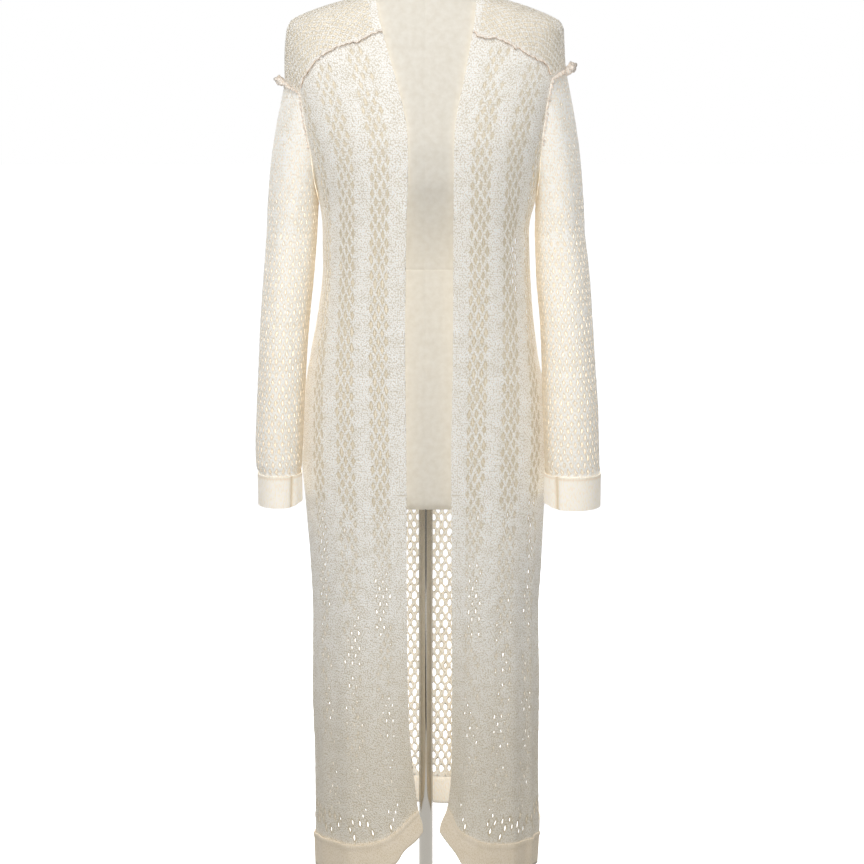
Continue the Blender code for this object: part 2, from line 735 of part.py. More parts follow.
def make_armhole_roll(side):
    """The curled edge over an armhole, on the yoke and panels beside the sleeve's root. It ends
    above the underarm, in front and behind."""
    round_it = armhole(side, ARMHOLE_ROLL_POINTS)
    ends = round(ARMHOLE_ROLL_POINTS * ARMHOLE_ROLL_SHARE / 2)
    path = []
    for k in range(-ends, ends + 1):
        point, out, onto = round_it[k]
        radius = ARMHOLE_ROLL_RADIUS * (1.0 - ARMHOLE_ROLL_TAPER * abs(k) / ends)
        path.append(point + out * (radius + ARMHOLE_ROLL_CLEARANCE) + onto * radius)
    name = f"armhole_roll_{SIDE_NAMES[side]}"
    roll(name, path, ARMHOLE_ROLL_RADIUS, ARMHOLE_ROLL_TAPER)


def make_form():
    """The limbless dress form, closed at its neck and below the hips."""
    shape = bmesh.new()
    turns = [2 * math.pi * k / FORM_SIDES for k in range(FORM_SIDES)]
    rings = []
    for row in FORM:
        ring = []
        for turn in turns:
            deep = row.front if math.cos(turn) >= 0 else row.back
            ring.append(shape.verts.new(on_section(turn, row.side, deep, row.height)))
        rings.append(ring)
    for upper, lower in zip(rings, rings[1:]):
        for k in range(FORM_SIDES):
            after = (k + 1) % FORM_SIDES
            shape.faces.new((upper[k], upper[after], lower[after], lower[k]))
    shape.faces.new(rings[0])
    shape.faces.new(rings[-1])
    new_object("dress_form", mesh_of("dress_form", shape), LINEN, 0.85)


def make_stand():
    """The pole and the round base plate."""
    foot, head = BASE_THICKNESS + REST_GAP, FORM[-1].height - REST_GAP
    shape = bmesh.new()
    bmesh.ops.create_cone(
        shape,
        cap_ends=True,
        segments=POLE_SIDES,
        radius1=POLE_DIAMETER / 2,
        radius2=POLE_DIAMETER / 2,
        depth=head - foot,
    )
    pole = new_object("pole", mesh_of("pole", shape), STEEL, 0.2, 1.0)
    pole.location.z = (foot + head) / 2
    shape = bmesh.new()
    bmesh.ops.create_cone(
        shape,
        cap_ends=True,
        segments=BASE_SIDES,
        radius1=BASE_DIAMETER / 2,
        radius2=BASE_DIAMETER / 2,
        depth=BASE_THICKNESS,
    )
    base = new_object("base_plate", mesh_of("base_plate", shape, smooth=False), STEEL, 0.35, 1.0)
    base.location.z = BASE_THICKNESS / 2
    edge = base.modifiers.new("rounded edge", "BEVEL")
    edge.width = BASE_EDGE
    edge.segments = 2
    edge.limit_method = "ANGLE"


for leftover in list(bpy.data.objects):
    bpy.data.objects.remove(leftover)
parts = bpy.data.collections.new("drape_cardigan")
bpy.context.scene.collection.children.link(parts)
make_stand()
make_form()
make_back()
make_back_band()
make_yoke()
make_yoke_rolls()
for wearer_side in (RIGHT, LEFT):
    make_front(wearer_side)
    make_front_band(wearer_side)
    make_sleeve(wearer_side)
    make_cuff(wearer_side)
    make_armhole_roll(wearer_side)
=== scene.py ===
"""Looks of an open-front mesh-knit drape cardigan worn by a limbless dress form on a pole stand.

Metres, +Z up, -Y the front, +X the wearer's left. Each knitted piece is cut flat, as a net or a
plain strip, and then laid on the worn shape, whose level sections are those of the solids. A turn
is an angle on a level section, measured from the front centre: 0 at -Y, 90 degrees at the side.
"""

import logging
import math
from dataclasses import dataclass
from enum import Enum
from functools import partial
from typing import Any, NamedTuple, Sequence

import bmesh
import bpy
import numpy as np
from mathutils import Matrix, Vector
from mathutils.bvhtree import BVHTree


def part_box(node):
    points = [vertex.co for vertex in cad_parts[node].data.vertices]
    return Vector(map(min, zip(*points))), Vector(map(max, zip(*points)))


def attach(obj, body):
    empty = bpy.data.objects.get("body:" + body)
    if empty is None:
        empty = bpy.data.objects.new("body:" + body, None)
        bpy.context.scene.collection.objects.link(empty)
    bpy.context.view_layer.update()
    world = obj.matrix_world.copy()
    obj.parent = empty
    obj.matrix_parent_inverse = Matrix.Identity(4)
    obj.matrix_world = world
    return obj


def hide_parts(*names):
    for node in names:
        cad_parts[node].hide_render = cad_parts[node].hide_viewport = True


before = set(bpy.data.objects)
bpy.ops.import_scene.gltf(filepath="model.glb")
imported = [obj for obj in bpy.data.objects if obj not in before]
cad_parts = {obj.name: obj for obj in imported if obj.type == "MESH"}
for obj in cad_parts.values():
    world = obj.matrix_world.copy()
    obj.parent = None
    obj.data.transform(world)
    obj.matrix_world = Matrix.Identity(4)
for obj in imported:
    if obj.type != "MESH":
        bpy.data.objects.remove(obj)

ROOT = "root"
WAVE_BANDS = 20
FORM_NODE = "dress_form"
TINY = 1e-9

# The worn shape, as in the solids.
WALL = 0.0020
SEAM_GAP = 0.0008
SECTION_POWER = 2.4
FOLD_SHARPNESS = 1.3
UNDERARM = 1.128
NECK_SIDE = 1.409
NECK_BACK = 1.418
BACK_NECK_SHARE = 0.30
NECK_EASE = 1.5
BAND_HEIGHT = 0.047
SLEEVE_HEAD_FULLNESS = 0.006

# How the knitted pieces lap at their seams, and how a sleeve is gathered into its cuff.
SEAM_LAP = 0.0008
BAND_LAP = 0.0030
ARMHOLE_LAP = 0.0016
GATHER_HEIGHT = 0.016
GATHER_OUT = 0.0011
GATHER_WAVES = 22

# The pressed crease down the inner front of each cuff, and how far the cuff behind it is lifted.
CREASE_LIFT = 0.004
CREASE_LIFTED = 185.0
CREASE_TURN = 128.0
CREASE_SPREAD = 7.0
CREASE_DEPTH = 0.0045
# Painted shade, darker and golden, in each cuff's crease and along its seam: 0 plain, 1 full.
CREASE_SHADE = 0.85
SEAM_SHADE = 0.60

# Where a knit's faces meet more sharply than this, in degrees, they are the rim of a hole.
RIM_ANGLE = 70.0

# Painted shade: how strongly the cloth is tinted darker and golden, 0 plain, 1 full, standing in for shade
# and for light bounced between its cream layers: on the inner side of each sleeve, at the underarms, and
# low down, where less light falls, the more so at the front edges.
INNER_SHADE = 0.72
UNDERARM_SHADE = 1.0
EDGE_SHADE = 0.70
LOW_SHADE = 0.58


class Side(Enum):
    """The wearer's two sides, by the sign of X."""

    LEFT = 1
    RIGHT = -1

    @property
    def word(self) -> str:
        """The side's word in a piece's name."""
        return self.name.lower()


class Section(NamedTuple):
    """How far the worn garment's outer face reaches at a height."""

    height: float
    right: float
    left: float
    front: float
    back: float


class Ring(NamedTuple):
    """A level section of the dress form."""

    height: float
    side: float
    front: float
    back: float


class Pair(NamedTuple):
    """A value on the wearer's right and left, at a height or a share of a seam."""

    at: float
    right: float
    left: float


class Armhole(NamedTuple):
    """Where the armhole crosses a level: degrees from the front and from the back centre."""

    height: float
    front: float
    back: float


class Fold(NamedTuple):
    """A soft vertical fold: where, how wide and how far out, and the heights where it starts and
    is full."""

    turn: float
    spread: float
    out: float
    start: float
    full: float


class SleeveRing(NamedTuple):
    """A level ring of a hanging sleeve: its reach from the middle, and its place and half depth
    from front to back."""

    height: float
    outer: float
    inner: float
    forward: float
    depth: float


class Cuff(NamedTuple):
    """A cuff's heights, reach from the middle, and place and half depth from front to back."""

    top: float
    bottom: float
    outer: float
    inner: float
    forward: float
    depth: float


GARMENT = [
    Section(1.430, 0.0640, 0.0640, 0.0500, 0.0510),
    Section(1.418, 0.0710, 0.0710, 0.0540, 0.0560),
    Section(1.409, 0.0780, 0.0780, 0.0575, 0.0600),
    Section(1.400, 0.1200, 0.1200, 0.0620, 0.0660),
    Section(1.383, 0.1700, 0.1680, 0.0740, 0.0790),
    Section(1.374, 0.1860, 0.1850, 0.0800, 0.0840),
    Section(1.362, 0.1915, 0.1910, 0.0860, 0.0890),
    Section(1.333, 0.1945, 0.1925, 0.0970, 0.0970),
    Section(1.305, 0.1950, 0.1940, 0.1070, 0.1020),
    Section(1.250, 0.1850, 0.1820, 0.1220, 0.1100),
    Section(1.200, 0.1690, 0.1700, 0.1300, 0.1110),
    Section(1.160, 0.1570, 0.1600, 0.1295, 0.1080),
    Section(1.128, 0.1480, 0.1530, 0.1280, 0.1050),
    Section(1.090, 0.1440, 0.1450, 0.1270, 0.1020),
    Section(1.040, 0.1440, 0.1465, 0.1270, 0.1000),
    Section(0.976, 0.1510, 0.1510, 0.1290, 0.1040),
    Section(0.919, 0.1620, 0.1580, 0.1310, 0.1110),
    Section(0.845, 0.1735, 0.1710, 0.1340, 0.1200),
    Section(0.770, 0.1765, 0.1755, 0.1365, 0.1230),
    Section(0.700, 0.1715, 0.1700, 0.1380, 0.1230),
    Section(0.620, 0.1655, 0.1655, 0.1395, 0.1220),
    Section(0.540, 0.1620, 0.1605, 0.1410, 0.1220),
    Section(0.430, 0.1625, 0.1625, 0.1440, 0.1230),
    Section(0.320, 0.1600, 0.1620, 0.1470, 0.1250),
    Section(0.220, 0.1600, 0.1640, 0.1500, 0.1280),
    Section(0.140, 0.1580, 0.1600, 0.1510, 0.1300),
]
FORM = [
    Ring(1.500, 0.0480, 0.0440, 0.0400),
    Ring(1.496, 0.0520, 0.0475, 0.0435),
    Ring(1.460, 0.0530, 0.0480, 0.0460),
    Ring(1.432, 0.0550, 0.0450, 0.0460),
    Ring(1.414, 0.0630, 0.0460, 0.0470),
    Ring(1.405, 0.0760, 0.0500, 0.0520),
    Ring(1.395, 0.1180, 0.0550, 0.0590),
    Ring(1.387, 0.1430, 0.0610, 0.0660),
    Ring(1.378, 0.1650, 0.0670, 0.0720),
    Ring(1.369, 0.1790, 0.0730, 0.0770),
    Ring(1.355, 0.1860, 0.0810, 0.0840),
    Ring(1.325, 0.1850, 0.0930, 0.0920),
    Ring(1.290, 0.1790, 0.1050, 0.0980),
    Ring(1.245, 0.1650, 0.1170, 0.1030),
    Ring(1.200, 0.1500, 0.1250, 0.1010),
    Ring(1.165, 0.1420, 0.1230, 0.0960),
    Ring(1.120, 0.1350, 0.1100, 0.0860),
    Ring(1.075, 0.1230, 0.0970, 0.0750),
    Ring(1.040, 0.1180, 0.0920, 0.0700),
    Ring(1.000, 0.1240, 0.0950, 0.0760),
    Ring(0.940, 0.1420, 0.1010, 0.0920),
    Ring(0.880, 0.1570, 0.1070, 0.1060),
    Ring(0.820, 0.1660, 0.1110, 0.1130),
    Ring(0.760, 0.1700, 0.1130, 0.1140),
    Ring(0.733, 0.1685, 0.1130, 0.1120),
    Ring(0.718, 0.1620, 0.1115, 0.1060),
    Ring(0.710, 0.1440, 0.1060, 0.0940),
]
FRONT_EDGE = [
    Pair(1.409, 0.0760, 0.0760),
    Pair(1.399, 0.0670, 0.0685),
    Pair(1.368, 0.0600, 0.0655),
    Pair(1.345, 0.0535, 0.0610),
    Pair(1.314, 0.0445, 0.0555),
    Pair(1.284, 0.0360, 0.0495),
    Pair(1.251, 0.0280, 0.0425),
    Pair(1.223, 0.0235, 0.0390),
    Pair(1.181, 0.0227, 0.0380),
    Pair(1.084, 0.0257, 0.0380),
    Pair(0.936, 0.0273, 0.0374),
    Pair(0.780, 0.0258, 0.0352),
    Pair(0.620, 0.0256, 0.0365),
    Pair(0.450, 0.0241, 0.0368),
    Pair(0.373, 0.0200, 0.0366),
    Pair(0.326, 0.0146, 0.0350),
    Pair(0.293, 0.0105, 0.0300),
    Pair(0.264, 0.0035, 0.0200),
    Pair(0.240, 0.0030, 0.0190),
]
ARMHOLE = [
    Armhole(1.400, 60.0, 66.0),
    Armhole(1.285, 60.0, 66.0),
    Armhole(1.250, 61.5, 65.0),
    Armhole(1.200, 66.5, 67.0),
    Armhole(1.165, 74.5, 74.0),
    Armhole(1.142, 82.0, 82.0),
    Armhole(1.128, 90.0, 90.0),
    Armhole(0.100, 90.0, 90.0),
]
FRONT_YOKE_SEAM = [
    Pair(0.00, 1.3580, 1.3580),
    Pair(0.10, 1.3540, 1.3510),
    Pair(0.26, 1.3440, 1.3490),
    Pair(0.38, 1.3405, 1.3430),
    Pair(0.47, 1.3365, 1.3370),
    Pair(0.65, 1.3240, 1.3265),
    Pair(0.86, 1.3000, 1.3160),
    Pair(1.00, 1.2750, 1.2940),
]
BACK_YOKE_SEAM = [
    Pair(0.00, 1.3320, 1.3320),
    Pair(0.30, 1.3280, 1.3280),
    Pair(0.60, 1.3170, 1.3190),
    Pair(1.00, 1.2780, 1.2920),
]
FRONT_BAND_SEAM = [
    Pair(0.00, 0.2900, 0.2960),
    Pair(0.05, 0.2770, 0.2800),
    Pair(0.11, 0.2600, 0.2590),
    Pair(0.17, 0.2480, 0.2490),
    Pair(0.26, 0.2380, 0.2380),
    Pair(0.40, 0.2310, 0.2310),
    Pair(0.64, 0.2260, 0.2240),
    Pair(1.00, 0.2100, 0.2130),
]
FRONT_HEM = [
    Pair(0.00, 0.2590, 0.2600),
    Pair(0.02, 0.2480, 0.2510),
    Pair(0.08, 0.2300, 0.2280),
    Pair(0.12, 0.2120, 0.2100),
    Pair(0.21, 0.1970, 0.1950),
    Pair(0.35, 0.1840, 0.1835),
    Pair(0.60, 0.1770, 0.1780),
    Pair(1.00, 0.1630, 0.1660),
]
BACK_BAND_SEAM = [
    Pair(0.00, 0.2440, 0.2440),
    Pair(0.60, 0.2300, 0.2310),
    Pair(1.00, 0.2100, 0.2130),
]
SHOULDER = [
    Pair(0.0, NECK_SIDE, NECK_SIDE),
    Pair(0.2, 1.4010, 1.4010),
    Pair(0.4, 1.3900, 1.3900),
    Pair(0.6, 1.3760, 1.3770),
    Pair(0.8, 1.3380, 1.3460),
    Pair(1.0, 1.2900, 1.3060),
]
FOLDS = [
    Fold(-62.0, 9.0, 0.0030, 0.78, 0.45),
    Fold(-78.0, 6.0, 0.0035, 0.74, 0.40),
    Fold(-104.0, 8.0, 0.0070, 0.74, 0.35),
    Fold(-128.0, 9.0, 0.0090, 0.78, 0.35),
    Fold(-151.0, 8.0, 0.0060, 0.70, 0.30),
    Fold(-172.0, 9.0, 0.0080, 0.74, 0.35),
    Fold(166.0, 8.0, 0.0065, 0.72, 0.30),
    Fold(144.0, 9.0, 0.0090, 0.76, 0.35),
    Fold(121.0, 8.0, 0.0070, 0.74, 0.30),
    Fold(99.0, 6.0, 0.0060, 0.76, 0.45),
    Fold(79.0, 5.0, 0.0040, 0.76, 0.50),
    Fold(64.0, 5.0, 0.0040, 0.80, 0.50),
    Fold(46.0, 8.0, 0.0025, 0.70, 0.40),
    Fold(-38.0, 9.0, 0.0025, 0.66, 0.35),
]
SLEEVES = {
    Side.RIGHT: [
        SleeveRing(1.085, 0.2215, 0.1500, 0.014, 0.056),
        SleeveRing(1.020, 0.2260, 0.1550, 0.028, 0.053),
        SleeveRing(0.960, 0.2300, 0.1610, 0.040, 0.051),
        SleeveRing(0.900, 0.2325, 0.1650, 0.051, 0.049),
        SleeveRing(0.845, 0.2350, 0.1680, 0.059, 0.047),
        SleeveRing(0.790, 0.2370, 0.1705, 0.065, 0.045),
        SleeveRing(0.752, 0.2358, 0.1725, 0.068, 0.043),
    ],
    Side.LEFT: [
        SleeveRing(1.085, 0.2220, 0.1515, 0.016, 0.056),
        SleeveRing(1.020, 0.2290, 0.1535, 0.032, 0.054),
        SleeveRing(0.960, 0.2325, 0.1585, 0.047, 0.052),
        SleeveRing(0.900, 0.2360, 0.1605, 0.060, 0.050),
        SleeveRing(0.845, 0.2395, 0.1620, 0.071, 0.048),
        SleeveRing(0.790, 0.2410, 0.1640, 0.079, 0.046),
        SleeveRing(0.755, 0.2420, 0.1655, 0.082, 0.044),
    ],
}
CUFFS = {
    Side.RIGHT: Cuff(0.7560, 0.7120, 0.2320, 0.1735, 0.069, 0.040),
    Side.LEFT: Cuff(0.7580, 0.7120, 0.2415, 0.1660, 0.083, 0.042),
}


def blend(start: Any, end: Any, share: Any) -> Any:
    """A value or an array part of the way from one to another."""
    return start + (end - start) * share


def eased(share: np.ndarray) -> np.ndarray:
    """Shares from 0 to 1 with level ends."""
    share = np.clip(share, 0.0, 1.0)
    return share * share * (3 - 2 * share)


def unit(vectors: np.ndarray) -> np.ndarray:
    """Vectors at length 1."""
    return vectors / np.maximum(np.linalg.norm(vectors, axis=-1, keepdims=True), TINY)


def run_lengths(points: np.ndarray, axis: int) -> np.ndarray:
    """The distance run along an axis of a grid of points, 0 at its start.

    Args:
        points: rows x columns x 3.
        axis: 0 to run down the columns, 1 to run along the rows.

    Returns:
        rows x columns distances.
    """
    runs = np.cumsum(np.linalg.norm(np.diff(points, axis=axis), axis=-1), axis=axis)
    return np.concatenate([np.zeros_like(runs.take([0], axis=axis)), runs], axis=axis)


class Curve:
    """A smooth curve through a table's column, which never overshoots a row."""

    def __init__(self, places: Sequence[float], values: Sequence[float]) -> None:
        """Sorts the rows and works out the slope at each.

        Args:
            places: where each row is.
            values: the column's value there.
        """
        order = np.argsort(places)
        self.places = np.array(places, float)[order]
        self.values = np.array(values, float)[order]
        slopes = np.diff(self.values) / np.diff(self.places)
        before, after = slopes[:-1], slopes[1:]
        same = before * after > 0
        inner = np.where(same, 2 * before * after / np.where(same, before + after, 1.0), 0.0)
        self.slopes = np.concatenate([slopes[:1], inner, slopes[-1:]])

    def __call__(self, wanted: Any) -> np.ndarray:
        """The curve's values where it is asked for."""
        wanted = np.clip(wanted, self.places[0], self.places[-1])
        i = np.searchsorted(self.places, wanted, side="right") - 1
        i = np.clip(i, 0, len(self.places) - 2)
        width = self.places[i + 1] - self.places[i]
        t = (wanted - self.places[i]) / width
        return (
            self.values[i] * (1 + 2 * t) * (1 - t) ** 2
            + self.values[i + 1] * t * t * (3 - 2 * t)
            + self.slopes[i] * width * t * (1 - t) ** 2
            - self.slopes[i + 1] * width * t * t * (1 - t)
        )


def curves(rows: Sequence[NamedTuple]) -> dict[str, Curve]:
    """A curve for each column of a table but the first, along the first.

    Args:
        rows: the table's rows.

    Returns:
        The curves by their column's name.
    """
    first, *columns = rows[0]._fields
    places = [getattr(row, first) for row in rows]
    return {name: Curve(places, [getattr(row, name) for row in rows]) for name in columns}


def by_side(table: dict[str, Curve], wanted: Any, side: Any) -> np.ndarray:
    """A table's left or right column, by the sign of side."""
    return np.where(np.asarray(side) >= 0, table["left"](wanted), table["right"](wanted))


def on_section(turn: Any, side: Any, deep: Any, height: Any) -> np.ndarray:
    """Points of level sections that are rounder than a box and squarer than an ellipse.

    Args:
        turn: the angle from the front centre.
        side: the section's reach sideways.
        deep: its reach to the front or back, whichever the turn faces.
        height: its height.

    Returns:
        The points, with X, Y and Z last.
    """
    sine, cosine = np.sin(turn), np.cos(turn)
    across = side * np.sign(sine) * np.abs(sine) ** (2 / SECTION_POWER)
    along = -deep * np.sign(cosine) * np.abs(cosine) ** (2 / SECTION_POWER)
    return np.stack(np.broadcast_arrays(across, along, height), axis=-1)


class Worn:
    """The surface that the body's cloth pieces share, and the seams on it."""

    def __init__(self) -> None:
        """Reads the tables."""
        self.sections = curves(GARMENT)
        self.edge = curves(FRONT_EDGE)
        self.armhole = curves(ARMHOLE)
        self.front_yoke_seam = curves(FRONT_YOKE_SEAM)
        self.back_yoke_seam = curves(BACK_YOKE_SEAM)
        self.front_band_seam = curves(FRONT_BAND_SEAM)
        self.front_hem = curves(FRONT_HEM)
        self.back_band_seam = curves(BACK_BAND_SEAM)
        self.shoulder = curves(SHOULDER)

    def folds_out(self, turn: Any, height: Any) -> np.ndarray:
        """How far the folds push the cloth out."""
        out = np.zeros(np.broadcast(turn, height).shape)
        for fold in FOLDS:
            away = (np.degrees(turn) - fold.turn + 180.0) % 360.0 - 180.0
            grown = eased((fold.start - height) / (fold.start - fold.full))
            out = out + fold.out * grown * np.exp(-((FOLD_SHARPNESS * away / fold.spread) ** 2))
        return out

    def at(self, turn: Any, height: Any) -> np.ndarray:
        """Points of the outer face at turns and heights."""
        sine, cosine = np.sin(turn), np.cos(turn)
        side = by_side(self.sections, height, sine)
        deep = np.where(cosine >= 0, self.sections["front"](height), self.sections["back"](height))
        out = unit(np.stack([sine / side, -cosine / deep, np.zeros_like(sine / side)], axis=-1))
        return on_section(turn, side, deep, height) + out * self.folds_out(turn, height)[..., None]

    def turn_of(self, reach: Any, height: Any, side: Any) -> np.ndarray:
        """The turn, short of the side, at which a section reaches this far sideways."""
        share = np.clip(reach / by_side(self.sections, height, side), 0.0, 1.0)
        return np.arcsin(share ** (SECTION_POWER / 2))

    def front_place(self, share: Any, height: Any, side: Any) -> tuple[np.ndarray, np.ndarray]:
        """Turn and height on a front, by share of its width from its edge to the side."""
        start = self.turn_of(by_side(self.edge, height, side), height, side)
        end = np.radians(self.armhole["front"](height))
        return side * blend(start, end, share), height

    def back_place(self, share: Any, height: Any) -> tuple[np.ndarray, np.ndarray]:
        """Turn and height on the back, by share of its half width, -1 right to 1 left."""
        return np.pi - share * np.radians(self.armhole["back"](height)), height

    def front_yoke_place(self, share: Any, side: Any) -> tuple[np.ndarray, np.ndarray]:
        """Turn and height along the seam of the yoke and a front."""
        return self.front_place(share, by_side(self.front_yoke_seam, share, side), side)

    def back_yoke_place(self, share: Any) -> tuple[np.ndarray, np.ndarray]:
        """Turn and height along the seam of the yoke and the back."""
        return self.back_place(share, by_side(self.back_yoke_seam, np.abs(share), share))

    def shoulder_place(self, share: Any, along: Any, side: Any) -> tuple[np.ndarray, np.ndarray]:
        """Turn and height on the yoke's shoulder.

        Args:
            share: from 0 at the neck to 1 at the armhole.
            along: from -1 at the front seam through 0 on top to 1 at the back seam.
            side: the sign of the side.

        Returns:
            The turns and heights.
        """
        share, along = np.broadcast_arrays(share, along)
        front, back = along <= 0, along > 0
        top = by_side(self.shoulder, share, side)
        ahead = self.front_yoke_place(share, side)
        behind = self.back_yoke_place(side * blend(BACK_NECK_SHARE, 1.0, share))
        turn, height = (np.where(front, a, b) for a, b in zip(ahead, behind))
        level = blend(top, height, np.abs(along) ** (2 - share))
        seam_reach = np.abs(self.at(turn, height)[..., 0])
        across = blend(by_side(self.sections, top, side), seam_reach, np.abs(along))
        bow = self.neckline_bow(along, side) * (1 - share) ** 2
        across = across + np.where(along < 0, bow, 0.0)
        turned = self.turn_of(across, level, side)
        return side * np.where(back, np.pi - turned, turned), level

    def neckline_bow(self, along: Any, side: Any) -> np.ndarray:
        """How far the neckline over the front of the shoulder lies off a straight line."""
        low = self.front_yoke_place(0.0, side)[1]
        level = blend(NECK_SIDE, low, along * along)
        neck = by_side(self.sections, NECK_SIDE, side)
        return by_side(self.edge, level, side) - blend(neck, by_side(self.edge, low, side), abs(along))

    def neck_place(self, share: Any, along: Any) -> tuple[np.ndarray, np.ndarray]:
        """Turn and height on the yoke behind the neck.

        Args:
            share: from -1 on the right to 1 on the left.
            along: from 0 at the neck edge to 1 at the back seam.

        Returns:
            The turns and heights.
        """
        turn, height = self.back_yoke_place(share * BACK_NECK_SHARE)
        top = blend(NECK_BACK, NECK_SIDE, share * share)
        neck_reach = by_side(self.sections, NECK_SIDE, share) * np.sin(np.pi / 2 * np.abs(share))
        level = blend(top, height, along**NECK_EASE)
        across = blend(neck_reach, np.abs(self.at(turn, height)[..., 0]), along)
        turned = self.turn_of(across, level, share)
        return np.where(share >= 0, 1.0, -1.0) * (np.pi - turned), level

    def normal(self, turn: Any, height: Any) -> np.ndarray:
        """The direction straight out of the cloth at turns and heights."""
        step = 0.004
        up = self.at(turn, height + step) - self.at(turn, height - step)
        along = self.at(turn + step, height) - self.at(turn - step, height)
        return unit(np.cross(along, up))


WORN = Worn()


class Patch:
    """A piece of cloth in both its places: a grid of points on the worn piece's outer face, and
    where each of them lies on the flat cloth, across and up."""

    def __init__(
        self,
        worn: np.ndarray,
        normals: np.ndarray,
        flat: np.ndarray,
        missing: np.ndarray | None = None,
        warmth: np.ndarray | None = None,
    ) -> None:
        """Joins the grid's points and prepares the search for a place on the flat cloth.

        Args:
            worn: rows x columns x 3 points of the outer face.
            normals: the directions straight out of it.
            flat: rows x columns x 2 places on the flat cloth.
            missing: the grid's cells that hold no cloth.
            warmth: how much painted shade, darker and golden, lies at each point, standing in for shade and
                for light bounced between the cloth's layers.
        """
        rows, columns = flat.shape[:2]
        index = np.arange(rows * columns).reshape(rows, columns)
        corners = (index[:-1, :-1], index[:-1, 1:], index[1:, 1:], index[1:, :-1])
        cells = np.stack(corners, axis=-1)
        cells = cells.reshape(-1, 4) if missing is None else cells[~missing]
        self.grid = worn
        self.worn, self.normals = worn.reshape(-1, 3), normals.reshape(-1, 3)
        self.flat = flat.reshape(-1, 2)
        whole = np.zeros(flat.shape[:2]) if warmth is None else np.broadcast_to(warmth, flat.shape[:2])
        self.warmth = whole.reshape(-1)
        self.triangles = np.concatenate([cells[:, [0, 1, 2]], cells[:, [0, 2, 3]]])
        lifted = np.column_stack([self.flat, np.zeros(len(self.flat))])
        self.tree = BVHTree.FromPolygons(lifted.tolist(), self.triangles.tolist())
        self.low, self.high = self.flat.min(axis=0), self.flat.max(axis=0)
        self.corners = [flat[r, c] for r in (0, -1) for c in (0, -1)]

    @property
    def size(self) -> tuple[float, float]:
        """The flat cloth's width and length."""
        width, length = self.high - self.low
        return float(width), float(length)

    @property
    def area(self) -> float:
        """The flat cloth's area."""
        a, b, c = (self.flat[self.triangles[:, k]] for k in range(3))
        cross = (b - a)[:, 0] * (c - a)[:, 1] - (b - a)[:, 1] * (c - a)[:, 0]
        return float(np.abs(cross).sum() / 2)

    def nearest(self, places: np.ndarray) -> tuple[np.ndarray, np.ndarray, np.ndarray]:
        """The nearest place of the flat cloth to each place.

        Args:
            places: count x 2 places.

        Returns:
            The nearest places, the triangle that each is on, and how far away it is.
        """
        found = [self.tree.find_nearest((u, v, 0.0)) for u, v in places.tolist()]
        return (
            np.array([hit[0][:2] for hit in found]),
            np.array([hit[2] for hit in found]),
            np.array([hit[3] for hit in found]),
        )

    def lay(self, cloth: np.ndarray) -> tuple[np.ndarray, np.ndarray]:
        """Lays flat cloth on the worn shape.

        Args:
            cloth: count x 3 places: across, up, and off the middle of the wall.

        Returns:
            count x 3 points, and the painted shade at each.
        """
        places, faces, _ = self.nearest(cloth[:, :2])
        corners = self.triangles[faces]
        a, b, c = (self.flat[corners[:, k]] for k in range(3))
        ab, ac, ap = b - a, c - a, places - a
        whole = ab[:, 0] * ac[:, 1] - ab[:, 1] * ac[:, 0]
        whole = np.where(np.abs(whole) < TINY, TINY, whole)
        second = (ap[:, 0] * ac[:, 1] - ap[:, 1] * ac[:, 0]) / whole
        third = (ab[:, 0] * ap[:, 1] - ab[:, 1] * ap[:, 0]) / whole
        weights = np.clip(np.column_stack([1 - second - third, second, third]), 0.0, 1.0)
        weights /= weights.sum(axis=1, keepdims=True)
        points = np.einsum("nk,nkd->nd", weights, self.worn[corners])
        out = unit(np.einsum("nk,nkd->nd", weights, self.normals[corners]))
        warmth = np.einsum("nk,nk->n", weights, self.warmth[corners])
        return points + out * (cloth[:, 2:] - WALL / 2), warmth

    def faces_out(self) -> bool:
        """Whether flat cloth keeps its front outwards when it is laid."""
        a, b, c = (self.worn[self.triangles[:, k]] for k in range(3))
        fa, fb, fc = (self.flat[self.triangles[:, k]] for k in range(3))
        turned = (fb - fa)[:, 0] * (fc - fa)[:, 1] - (fb - fa)[:, 1] * (fc - fa)[:, 0]
        out = np.einsum("nd,nd->n", np.cross(b - a, c - a), self.normals[self.triangles[:, 0]])
        return float(np.sum(out * np.sign(turned))) > 0


def grid_normals(points: np.ndarray, centre: np.ndarray) -> np.ndarray:
    """The directions out of a grid of points, away from a centre.

    Args:
        points: rows x columns x 3.
        centre: a point, or one for each of the grid's.

    Returns:
        rows x columns x 3 directions.
    """
    normals = unit(np.cross(np.gradient(points, axis=1), np.gradient(points, axis=0)))
    inward = np.sum(normals * (points - centre)) < 0
    return -normals if inward else normals


def hex_colour(code: str) -> tuple[float, float, float, float]:
    """An sRGB hex colour as the linear colour that a shader takes."""
    parts = [int(code[i : i + 2], 16) / 255 for i in (1, 3, 5)]
    linear = [p / 12.92 if p <= 0.04045 else ((p + 0.055) / 1.055) ** 2.4 for p in parts]
    return (*linear, 1.0)


def add_node(
    tree: bpy.types.NodeTree,
    kind: str,
    settings: dict[Any, Any] | None = None,
    links: dict[Any, bpy.types.NodeSocket] | None = None,
) -> bpy.types.Node:
    """Adds a node to a material.

    Args:
        tree: the material's or world's nodes.
        kind: the node's type.
        settings: values by setting, or by input name or number.
        links: what feeds each input, by its name or number.

    Returns:
        The node.
    """
    node = tree.nodes.new(kind)
    for name, value in (settings or {}).items():
        if isinstance(name, int) or name in node.inputs:
            node.inputs[name].default_value = value
        else:
            setattr(node, name, value)
    for name, source in (links or {}).items():
        tree.links.new(source, node.inputs[name])
    return node


def new_material(name: str) -> tuple[bpy.types.Material, bpy.types.Node]:
    """An empty material and its Principled shader.

    Args:
        name: the finish's name.

    Returns:
        The material and the shader node.
    """
    material = bpy.data.materials.new(name)
    material.use_nodes = True
    return material, material.node_tree.nodes["Principled BSDF"]


